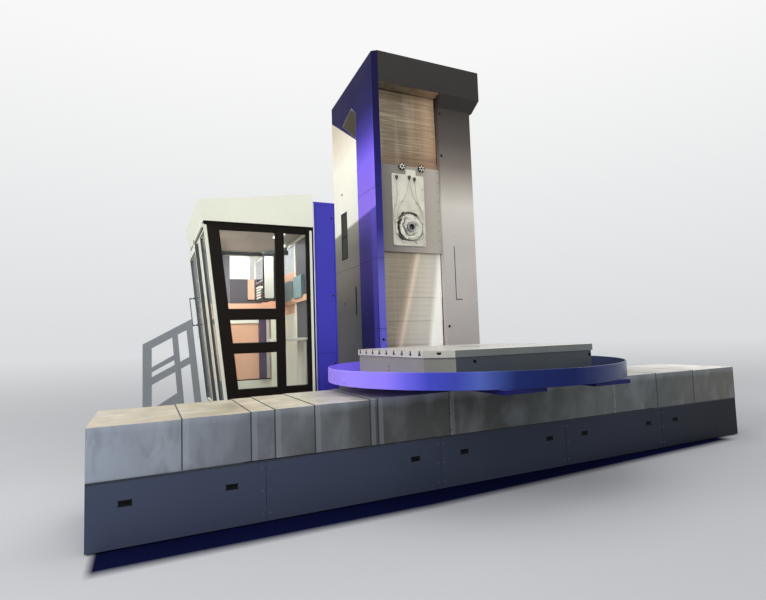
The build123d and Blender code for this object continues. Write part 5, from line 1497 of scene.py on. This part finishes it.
class MILL_OT_cab_trim(bpy.types.Operator):
    """Window seals, corner trims, header strips, roof screws and door fittings of the cab"""

    bl_idname = "mill.cab_trim"
    bl_label = "Cab trim"

    def execute(self, context):
        seal = Piece("cab_window_seals")
        for foot, head in LEFT_PANES:
            feet = (lean_x(foot, FRAME_LEFT), foot), (PANE_RIGHT, foot)
            heads = (PANE_RIGHT, head), (lean_x(head, FRAME_LEFT), head)
            pane_seal(seal, (*feet, *heads))
        left, right, foot, head = TALL_PANE
        pane_seal(seal, ((left, foot), (right, foot), (right, head), (left, head)))
        wall_frame(seal, SIDE_WINDOW, 0.012, -0.002, 0.005, 0.001)
        seal.finish("base", "rubber", "cab_black")
        self.corner_trims()
        self.door_fittings()
        self.header(context.scene.mill_sizes.screw * 0.7)
        return {"FINISHED"}

    def corner_trims(self):
        """Strips on the leaning edge, the right post, the wall's ends and the tower's edge."""
        trim = Piece("cab_corner_trims")
        front, foot, head = CAB_FRONT_Y, 0.52, 3.035
        places = (foot, 0), (foot, POST_WIDTH), (head, POST_WIDTH), (head, 0)
        trim.prism([(lean_x(z, inset), front, z) for z, inset in places], -Y, 0.004, 0.001)
        corner = (CAB_RIGHT_X - POST_WIDTH, front - 0.004, foot)
        trim.block(corner, (CAB_RIGHT_X, front, head), 0.001)
        for near, far in ((front - 0.003, front + 0.035), (CAB_BACK_Y - 0.035, CAB_BACK_Y)):
            wall_bar(trim, (near, 0.02), (far, WALL_TRIM_TOP), 0.0, 0.004, 0.001)
        trim.finish("base", "cream", "cab_cream")
        strip = (-1.3735, 1.786, 0.02, -1.3612, 1.8, 3.4, 0.002)
        block_pieces("base", (("tower_edge_strip", "aluminium", "tower_blue", strip),))

    def door_fittings(self):
        """Seals, lock and pull collars of the sliding door."""
        y1, y2, u1, u2 = DOOR_PLACE
        seal = Piece("door_window_seal")
        wall_frame(seal, DOOR_WINDOW, 0.014, DOOR_OUT, 0.003, 0.001)
        wall_bar(seal, (y1 + 0.004, u1 + 0.004), (y1 + 0.012, u2 - 0.05), DOOR_OUT, 0.004)
        seal.finish("cab_door", "rubber", "cab_black")
        lock = Piece("door_lock")
        wall_bar(lock, (y2 - 0.07, 1.08), (y2 - 0.028, 1.2), DOOR_OUT, 0.005, 0.0015)
        spot = WALL_FOOT + Y * (y2 - 0.049) + WALL_UP * 1.11 + WALL_OUT * (DOOR_OUT + 0.004)
        lock.turned(button(0.009, 0.012, 0.012, 0.009, 0), spot, WALL_OUT, 20)
        lock.finish("cab_door", "aluminium", "cab_cream", True)
        collars = Piece("door_pull_collars")
        for up in PULL_FEET:
            for out, radius in ((DOOR_OUT, 0.016), (DOOR_OUT + 0.05, 0.0125)):
                spot = WALL_FOOT + Y * PULL_Y + WALL_UP * up + WALL_OUT * out
                profile = button(radius * 0.8, 0.016, radius, 0.012, 0)
                collars.turned(profile, spot, WALL_OUT, 20)
        collars.finish("cab_door", "dark_metal", "cab_cream", True)

    def header(self, radius):
        """Dark strips under the roof, and the roof's screws."""
        header = Piece("cab_header_strips")
        foot, head, right = 3.0, 3.0425, CAB_RIGHT_X
        outline = (lean_x(foot), foot), (right, foot), (right, head), (lean_x(head), head)
        header.prism([(x, CAB_FRONT_Y, z) for x, z in outline], -Y, 0.005)
        wall_bar(header, (CAB_FRONT_Y, 2.47), (CAB_BACK_Y, 2.555), 0.0002, 0.002)
        header.finish("base", "black", "cab_black")
        low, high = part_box("cab_roof")
        spots = grid((-2.75, -2.4, -2.05, -1.7, -1.45), low.y, 3.09, -Y)
        spots += grid(high.x, (1.85, 2.4, 3.0, 3.6), 3.1, X)
        screws("roof_screws", spots, "base", radius, "cream")


BOARD_Y = 3.7405
# Boards on the rear wall: name, finish, slot, depth, and (left, right, foot, head) of each;
# a left of None reaches to the leaning wall
INNER_BOARDS = (
    ("cab_header_board", "dark_metal", "cab_black", 0.004, (None, -1.444, 2.945, 3.005)),
    ("cab_side_board", "mauve", "cab_peach", 0.004, (None, -2.22, 2.14, 2.94)),
    ("cab_upper_board", "slate", "cab_peach", 0.004, (-2.22, -1.7, 2.135, 2.545)),
    ("cab_upper_patch", "peach", "cab_peach", 0.006, (-1.93, -1.82, 2.2, 2.54)),
    ("cab_lit_panel", "panel_lit", "cab_window", 0.006, (-1.66, -1.455, 2.65, 2.94)),
    ("cab_lower_board", "khaki", "cab_peach", 0.006, (-1.68, -1.444, 2.2, 2.64)),
    # The blind glows: painted light
    ("cab_window_blind", "blind", "cab_window", 0.004, (-2.216, -1.9, 2.549, 2.928)),
    ("cab_board_line", "dark_metal", "cab_black", 0.012,
     (-1.95, -1.444, 2.18, 2.2), (None, -1.57, 0.852, 0.872)),
    ("cab_middle_rail", "cream", "cab_cream", 0.02, (None, -1.6, 1.8, 1.875)),
    ("cab_skirting", "cream", "cab_cream", 0.014, (None, -1.444, 0.54, 0.85)),
    ("cab_cable_duct", "plum", "cab_black", 0.07, (-1.76, -1.645, 0.875, 2.035)),
    ("cab_corner_post", "cream", "cab_cream", 0.05, (-1.56, -1.452, 0.54, 2.03)),
    ("cab_duct_edge", "aluminium", "cab_cream", 0.055, (-1.642, -1.595, 0.875, 2.035)),
)
CEILING_LAMP = (-1.8, 2.05, 2.988, -1.7, 2.4, 3.0085, 0.004)
CAB_FURNITURE = (
    ("cab_wall_cabinet", "steel_blue", "cab_cream",
     (-1.5, 2.02, 2.1, -1.4425, 2.44, 2.42, 0.004), (-1.5, 2.66, 2.1, -1.445, 3.14, 2.4, 0.004)),
    ("cab_right_boards", "slate", "cab_peach", (-1.449, 1.85, 0.75, -1.4425, 2.44, 2.95, 0.001)),
    ("cab_right_low_board", "lime", "cab_cream",
     (-1.452, 2.44, 0.54, -1.4425, 3.73, 1.9, 0.001),
     (-1.452, 1.85, 0.54, -1.4425, 2.44, 0.75, 0.001)),
    ("cab_right_posts", "cream", "cab_cream", (-1.46, 2.46, 0.55, -1.443, 2.5, 2.95, 0.002)),
    ("cab_desk", "lime", "cab_cream",
     (-1.9, 1.88, 1.49, -1.46, 2.3, 1.525, 0.006), (-1.5, 1.9, 0.54, -1.47, 2.28, 1.49, 0.004)),
    ("cab_floor_mat", "rubber", "cab_black", (-2.5, 1.86, 0.5302, -1.46, 3.72, 0.5342, 0.001)),
)


class MILL_OT_cab_interior(bpy.types.Operator):
    """What shows through the panes: ceiling, header, boards, cabinet, desk, blind and lamps"""

    bl_idname = "mill.cab_interior"
    bl_label = "Cab interior"

    def execute(self, context):
        top = 3.0125
        left = lean_x(top, 0.033)
        outline = ((left, 1.845), (-1.434, 1.845), (-1.434, 3.745), (left, 3.745))
        board = Piece("cab_ceiling_board")
        board.prism([(x, y, top) for x, y in outline], -Z, 0.004)
        board.finish("base", "beige", "cab_cream")
        block_pieces("base", (("cab_ceiling_lamps", "lamp", "cab_window", CEILING_LAMP),))
        for name, finish, slot, depth, *boxes in INNER_BOARDS:
            blocks = []
            for left, right, foot, head in boxes:
                start = lean_x((foot + head) / 2, 0.05) if left is None else left
                blocks.append((start, BOARD_Y - depth, foot, right, BOARD_Y, head, 0.001))
            block_pieces("base", ((name, finish, slot, *blocks),))
        block_pieces("base", CAB_FURNITURE)
        return {"FINISHED"}


PENDANT_FACE = -1.93
PENDANT_KEYS = [
    (PENDANT_FACE - 0.0035, y, z, PENDANT_FACE + 0.0005, y + 0.02, z + 0.024, 0.001)
    for z in spread(2.14, 2.3, 5)
    for y in spread(2.66, 2.968, 12)
]
PENDANT_BLOCKS = (
    ("pendant_bezel", "aluminium", "pendant_dark",
     (-1.934, 2.53, 2.38, -1.929, 3.02, 2.395, 0.001),
     (-1.934, 2.53, 2.715, -1.929, 3.02, 2.73, 0.001),
     (-1.934, 2.53, 2.395, -1.929, 2.545, 2.715, 0.001),
     (-1.934, 3.005, 2.395, -1.929, 3.02, 2.715, 0.001)),
    ("pendant_screen", "screen", "pendant_dark", (-1.9315, 2.545, 2.395, -1.9295, 3.005, 2.715, 0)),
    ("pendant_keys", "lime", "pendant_dark", *PENDANT_KEYS),
    ("pendant_edge_strips", "lime", "pendant_dark",
     (-1.9, 2.498, 2.12, -1.78, 2.502, 2.74, 0.002),
     (-1.9, 3.04, 2.12, -1.78, 3.052, 2.74, 0.002),
     (-1.91, 2.4955, 2.13, -1.885, 2.5005, 2.73, 0.001),
     (-1.8, 2.4955, 2.13, -1.775, 2.5005, 2.73, 0.001)),
)


class MILL_OT_pendant_panel(bpy.types.Operator):
    """Screen, keys, lights, edge strips and handwheel of the swinging control pendant"""

    bl_idname = "mill.pendant_panel"
    bl_label = "Pendant panel"

    def execute(self, context):
        block_pieces("control_pendant", PENDANT_BLOCKS)
        lights = Piece("pendant_lights")
        dome = ((0, 0.004), (0.006, 0.003), (0.008, 0), (0.008, -0.001))
        for y in spread(2.66, 2.91, 6):
            lights.turned(dome, (PENDANT_FACE, y, 2.355), -X, 12)
        lights.finish("control_pendant", "red", "button_red", True)
        wheel = Piece("pendant_handwheel")
        rim = ((0, 0.016), (0.026, 0.016), (0.032, 0.012), (0.034, 0.003), (0.034, -0.001))
        wheel.turned(rim, (PENDANT_FACE, 2.57, 2.27), -X, 28)
        grip = button(0.004, 0.027, 0.006, 0.024, 0.015)
        wheel.turned(grip, (PENDANT_FACE, 2.588, 2.278), -X, 12)
        wheel.finish("control_pendant", "ground", "pendant_dark", True)
        return {"FINISHED"}


DECK_TOP = 0.4997
DECK_LEFT = -3.14
STEP_COUNT = 2
STEP_DEPTH = 0.28
RAILING_BOLTS = ((-3.5, 0.3), (-3.43, 0.3), (-3.5, 0.24), (-3.43, 0.24), (-2.83, 0.485))
RAILING_BOLTS += ((-2.77, 0.485),)


class MILL_OT_platform_trim(bpy.types.Operator):
    """Tread studs, nosings, foot bolts and railing bolts of the cab's platform"""

    bl_idname = "mill.platform_trim"
    bl_label = "Platform trim"

    def execute(self, context):
        rise = DECK_TOP / (STEP_COUNT + 1)
        along = spread(2.83, 3.723, 20)
        studs, nosings = [], []
        for step in range(STEP_COUNT + 1):
            edge, top = DECK_LEFT - step * STEP_DEPTH, DECK_TOP - step * rise
            across = [edge + 0.05 + 0.09 * place for place in range(3 if step else 5)]
            studs += grid(across, along, top, Z)
            low, high = (edge - 0.0015, 2.79, top - 0.028), (edge + 0.03, 3.74, top + 0.0015)
            nosings.append((*low, *high, 0.001))
        scatter("tread_studs", stud_tree("rail"), studs, "base", 0.013, 0.003)
        block_pieces("base", (("tread_nosings", "aluminium", "platform_grey", *nosings),))
        feet = [x + shift for x in (-3.08, -2.557, -1.46) for shift in (-0.06, 0.06)]
        rows = [y + shift for y in (1.84, 3.72) for shift in (-0.06, 0.06)]
        spots = grid(feet, rows, 0.012, Z)
        screws("platform_foot_bolts", spots, "base", 0.009, "steel_edge", 0.006)
        spots = [((x, 2.75, z), -Y) for x, z in RAILING_BOLTS]
        screws("railing_bolts", spots, "base", 0.009, "steel_edge", 0.005)
        return {"FINISHED"}


class MILL_OT_tower_trim(bpy.types.Operator):
    """Door line, locks and vents of the service tower"""

    bl_idname = "mill.tower_trim"
    bl_label = "Tower trim"

    def execute(self, context):
        low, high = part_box("service_tower")
        near, far, right = low.y - 0.0006, low.y + 0.0006, high.x
        start, end = -1.341, right - 0.02
        seams = (
            (start, near, 0.1, start + 0.003, far, 3.38, 0),
            (end - 0.003, near, 0.1, end, far, 3.38, 0),
            (start, near, 0.1, end, far, 0.103, 0),
            (start, near, 3.377, end, far, 3.38, 0),
            (start, near, 1.3, end, far, 1.303, 0),
        )
        block_pieces("base", (("tower_door_seam", "hole", "tower_blue", *seams),))
        locks = Piece("tower_locks")
        for height in (0.5, 1.15, 2.1, 3.2):
            spot = Vector((right - 0.05, low.y, height))
            locks.turned(button(0.011, 0.005, 0.015, 0.002, -0.001), spot, -Y, 20)
        locks.finish("base", "dark_metal", "tower_blue", True)
        heights = spread(2.6, 2.796, 8)
        # The vents are near-black strips: painted shade for their openings
        vents = [(right - 0.0006, 1.95, z, right + 0.0006, 2.23, z + 0.01, 0) for z in heights]
        block_pieces("base", (("tower_vents", "hole", "tower_blue", *vents),))
        return {"FINISHED"}


class MILL_OT_finishes(bpy.types.Operator):
    """Gives every part of the machine its paint or its metal"""

    bl_idname = "mill.finishes"
    bl_label = "Paints and metals"

    def execute(self, context):
        make_finishes(context.scene.mill_colours)
        for name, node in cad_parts.items():
            node.data.materials.clear()
            node.data.materials.append(FINISHES[NODE_FINISH.get(name) or cover_finish(name)])
        return {"FINISHED"}


class MILL_OT_stage(bpy.types.Operator):
    """Sets a pale floor, a backdrop, soft lights and the camera"""

    bl_idname = "mill.stage"
    bl_label = "Stage, lights and camera"

    def execute(self, context):
        scene = context.scene
        scene.view_settings.view_transform = "Standard"
        self.pale_world(scene)
        self.pale_floor(scene)
        for name, place, aim, size, power in STAGE_LIGHTS:
            self.soft_light(scene, name, Vector(place), Vector(aim), size, power)
        scene.camera = self.photograph_camera(scene)
        return {"FINISHED"}

    def pale_world(self, scene):
        """Soft light all round, and behind the machine a backdrop that pales upwards."""
        world = bpy.data.worlds.new("studio_world")
        world.use_nodes = True
        scene.world = world
        tree = world.node_tree
        plain = tree.nodes["Background"]
        feed(tree, plain.inputs["Color"], WORLD_LIGHT)
        feed(tree, plain.inputs["Strength"], WORLD_LEVEL)
        place = add_node(tree, "ShaderNodeTexCoord").outputs["Generated"]
        height = add_node(tree, "ShaderNodeSeparateXYZ", {}, (place,)).outputs["Z"]
        sockets = {"Value": height, "From_Max": BACKDROP_HEIGHT}
        share = add_node(tree, "ShaderNodeMapRange", {}, (), sockets).outputs[0]
        values = (share, *[None] * 5, srgb(*HORIZON_TONE), srgb(*BACKDROP_TONE))
        colour = add_node(tree, "ShaderNodeMix", {"data_type": "RGBA"}, values).outputs[2]
        seen = add_node(tree, "ShaderNodeBackground", {}, (colour,)).outputs[0]
        path = add_node(tree, "ShaderNodeLightPath").outputs
        shown = path["Is Camera Ray"]
        for ray in ("Is Glossy Ray", "Is Transmission Ray"):
            either = add_node(tree, "ShaderNodeMath", {"operation": "MAXIMUM"}, (shown, path[ray]))
            shown = either.outputs[0]
        mixed = add_node(tree, "ShaderNodeMixShader", {}, (shown, plain.outputs[0], seen))
        tree.links.new(mixed.outputs[0], tree.nodes["World Output"].inputs["Surface"])

    def pale_floor(self, scene):
        """A pale floor with a painted contact shadow in front of the bed, whose far part takes the
        backdrop's own tone, so no edge shows.
        """
        bm = bmesh.new()
        bmesh.ops.create_grid(bm, x_segments=1, y_segments=1, size=FLOOR_REACH)
        mesh = bpy.data.meshes.new("studio_floor")
        bm.to_mesh(mesh)
        bm.free()
        floor = bpy.data.objects.new("studio_floor", mesh)
        scene.collection.objects.link(floor)
        concrete = Finish("studio_floor", Roughness=0.85)
        length = {"operation": "LENGTH"}
        far = concrete.node("ShaderNodeVectorMath", length, concrete.place, out="Value")
        fade = ((far - FLOOR_FADE) / far).over(0.0, 0.92)
        x, y = concrete.axis("X"), concrete.axis("Y")
        edge, rise, soft = CONTACT_FRONT
        contact = x.over(CONTACT_LEFT[0], CONTACT_LEFT[0] + CONTACT_LEFT[1])
        contact = contact * x.over(CONTACT_RIGHT[0], CONTACT_RIGHT[0] + CONTACT_RIGHT[1], 1.0, 0.0)
        front = y - x.over(*CONTACT_RISE, 0.0, rise)
        contact = contact * front.over(edge - soft, edge + soft)
        contact = contact * y.over(CONTACT_BACK[0], CONTACT_BACK[0] + CONTACT_BACK[1], 1.0, 0.0)
        near_tone = concrete.mix(contact, srgb(*FLOOR_TONE), srgb(*CONTACT_TONE))
        dark = (0, 0, 0, 1)
        concrete.set(Base_Color=concrete.mix(fade, near_tone, dark), Emission_Strength=1.0)
        concrete.set(Emission_Color=concrete.mix(fade, dark, srgb(*HORIZON_TONE)))
        concrete.set(Specular_IOR_Level=0.0)
        mesh.materials.append(concrete.material)

    def soft_light(self, scene, name, place, aim, size, power):
        lamp = bpy.data.lights.new(name, "AREA")
        lamp.shape = "RECTANGLE"
        lamp.size, lamp.size_y = size
        lamp.energy = power
        holder = bpy.data.objects.new(name, lamp)
        holder.location = place
        holder.rotation_euler = (aim - place).to_track_quat("-Z", "Y").to_euler()
        scene.collection.objects.link(holder)

    def photograph_camera(self, scene):
        level = Vector((math.cos(CAMERA_YAW), math.sin(CAMERA_YAW), 0))
        ahead = Vector((-math.sin(CAMERA_YAW), math.cos(CAMERA_YAW), 0))
        forward = ahead * math.cos(CAMERA_PITCH) + Z * math.sin(CAMERA_PITCH)
        upright = level.cross(forward)
        right = level * math.cos(CAMERA_ROLL) + upright * math.sin(CAMERA_ROLL)
        up = upright * math.cos(CAMERA_ROLL) - level * math.sin(CAMERA_ROLL)
        lens = bpy.data.cameras.new("photograph_view")
        lens.lens = CAMERA_LENS
        lens.sensor_width = 36
        lens.clip_end = 100
        camera = bpy.data.objects.new("photograph_view", lens)
        turn = Matrix((right, up, -forward)).transposed().to_4x4()
        camera.matrix_world = Matrix.Translation(CAMERA_PLACE) @ turn
        scene.collection.objects.link(camera)
        return camera


class MILL_PT_panel(bpy.types.Panel):
    """Everything that dresses the boring mill"""

    bl_idname = "MILL_PT_panel"
    bl_label = "Boring mill"
    bl_space_type = "VIEW_3D"
    bl_region_type = "UI"
    bl_category = "Mill"

    def draw(self, context):
        layout = self.layout
        for step in STEPS:
            layout.operator(step.bl_idname)
        for group in (context.scene.mill_colours, context.scene.mill_sizes):
            box = layout.box()
            for name in group.__annotations__:
                box.prop(group, name)


STEPS = (
    MILL_OT_stage,
    MILL_OT_finishes,
    MILL_OT_bed_trim,
    MILL_OT_way_cover_trim,
    MILL_OT_ring_trim,
    MILL_OT_table_fittings,
    MILL_OT_column_trim,
    MILL_OT_slat_guides,
    MILL_OT_headstock_fittings,
    MILL_OT_cab_trim,
    MILL_OT_cab_interior,
    MILL_OT_pendant_panel,
    MILL_OT_platform_trim,
    MILL_OT_tower_trim,
)
CLASSES = (MillColours, MillSizes, *STEPS, MILL_PT_panel)


def register():
    for kind in CLASSES:
        bpy.utils.register_class(kind)
    bpy.types.Scene.mill_colours = PointerProperty(type=MillColours)
    bpy.types.Scene.mill_sizes = PointerProperty(type=MillSizes)


def unregister():
    del bpy.types.Scene.mill_sizes
    del bpy.types.Scene.mill_colours
    for kind in reversed(CLASSES):
        bpy.utils.unregister_class(kind)


def main():
    register()
    for step in STEPS:
        family, name = step.bl_idname.split(".")
        getattr(getattr(bpy.ops, family), name)()


if __name__ == "__main__":
    main()
